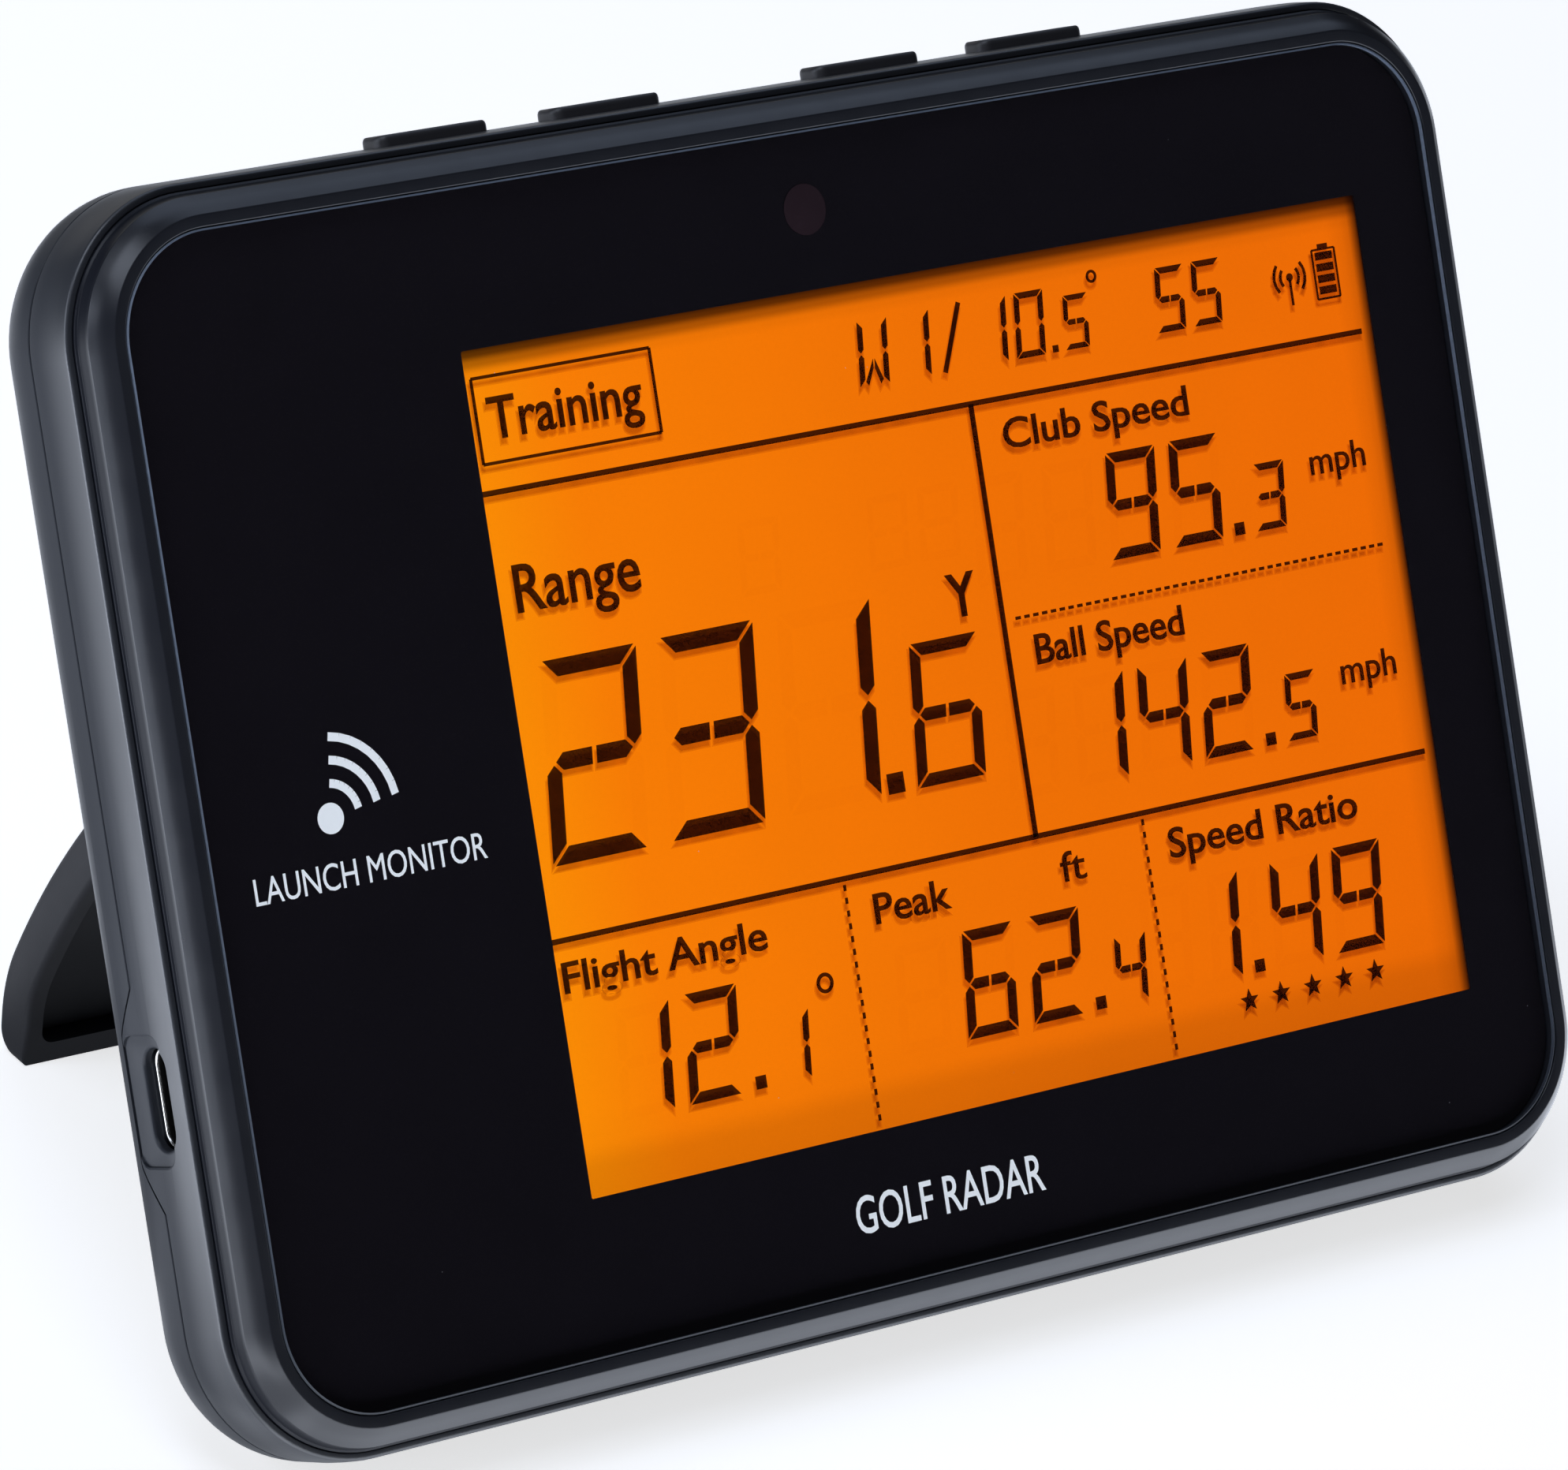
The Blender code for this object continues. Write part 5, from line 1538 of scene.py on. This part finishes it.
def studio_world():
    """A wall that looks pale to the camera and gives the object next to no light."""
    world = bpy.data.worlds.new("studio")
    world.use_nodes = True
    nodes = world.node_tree.nodes
    background = nodes["Background"]
    background.inputs["Color"].default_value = opaque(WALL_TINT)
    rays = nodes.new("ShaderNodeLightPath")
    strength = nodes.new("ShaderNodeMapRange")
    strength.inputs["To Min"].default_value = WALL_LIGHT
    strength.inputs["To Max"].default_value = WALL_SEEN
    links = world.node_tree.links
    links.new(rays.outputs["Is Camera Ray"], strength.inputs["Value"])
    links.new(strength.outputs[0], background.inputs["Strength"])
    return world


def make_stage():
    """The pale floor, the pale wall and five soft lights."""
    bm = bmesh.new()
    bmesh.ops.create_grid(bm, x_segments=1, y_segments=1, size=FLOOR_HALF)
    floor = solid("floor", bm)
    floor.data.materials.append(floor_finish())
    bpy.context.scene.world = studio_world()
    for light in LIGHTS:
        softbox(*light)


def make_camera():
    """The photograph's viewpoint."""
    data = bpy.data.cameras.new("camera")
    data.lens = CAMERA_LENS
    data.sensor_width = SENSOR_WIDTH
    data.clip_start, data.clip_end = 0.01, 20.0
    camera = linked("camera", data)
    camera.location = CAMERA_AT
    camera.rotation_euler = [radians(turn) for turn in CAMERA_TURN]
    bpy.context.scene.camera = camera


# ---- assembly


def build():
    """Dresses the CAD nodes, puts the finer shapes in place and sets the stage."""
    finish = make_materials()
    dress_cad_nodes(finish)
    for shape, slot, look, stands_for in (
        (window_pane, "front_glass", "front_glass", ["display_window"]),
        (pane_edge, "front_glass", "ground_edge", []),
        (window_ink, "front_glass", "ink", []),
        (window_print, "front_glass", "print", []),
        (sensor_disc, "front_glass", "sensor_tint", []),
        (bezel_trim, "bezel_plastic", "bezel_plastic", ["front_bezel"]),
        (side_housing, "body_plastic", "body_plastic", ["front_housing"]),
        (back_shell, "body_plastic", "body_plastic", ["rear_cover"]),
        (usb_receptacle, "port_steel", "port_steel", ["usb_shell"]),
        (usb_contacts, "port_steel", "port_steel", []),
    ):
        show(shape(), "housing", finish[look], stands_for)
    show(stand_tray(), "stand", finish["stand_plastic"], ["kickstand"])
    for where in BUTTONS:
        key = button_key(where)
        show(key, "key_" + where, finish["button_rubber"], ["button_" + where])
    display_pieces(finish)
    make_stage()
    make_camera()
    scene = bpy.context.scene
    scene.view_settings.view_transform = "Standard"
    # enough for a ray to pass all the display's films without being dropped at random
    scene.cycles.transparent_max_bounces = 48
    scene.cycles.transparent_min_bounces = 24


build()
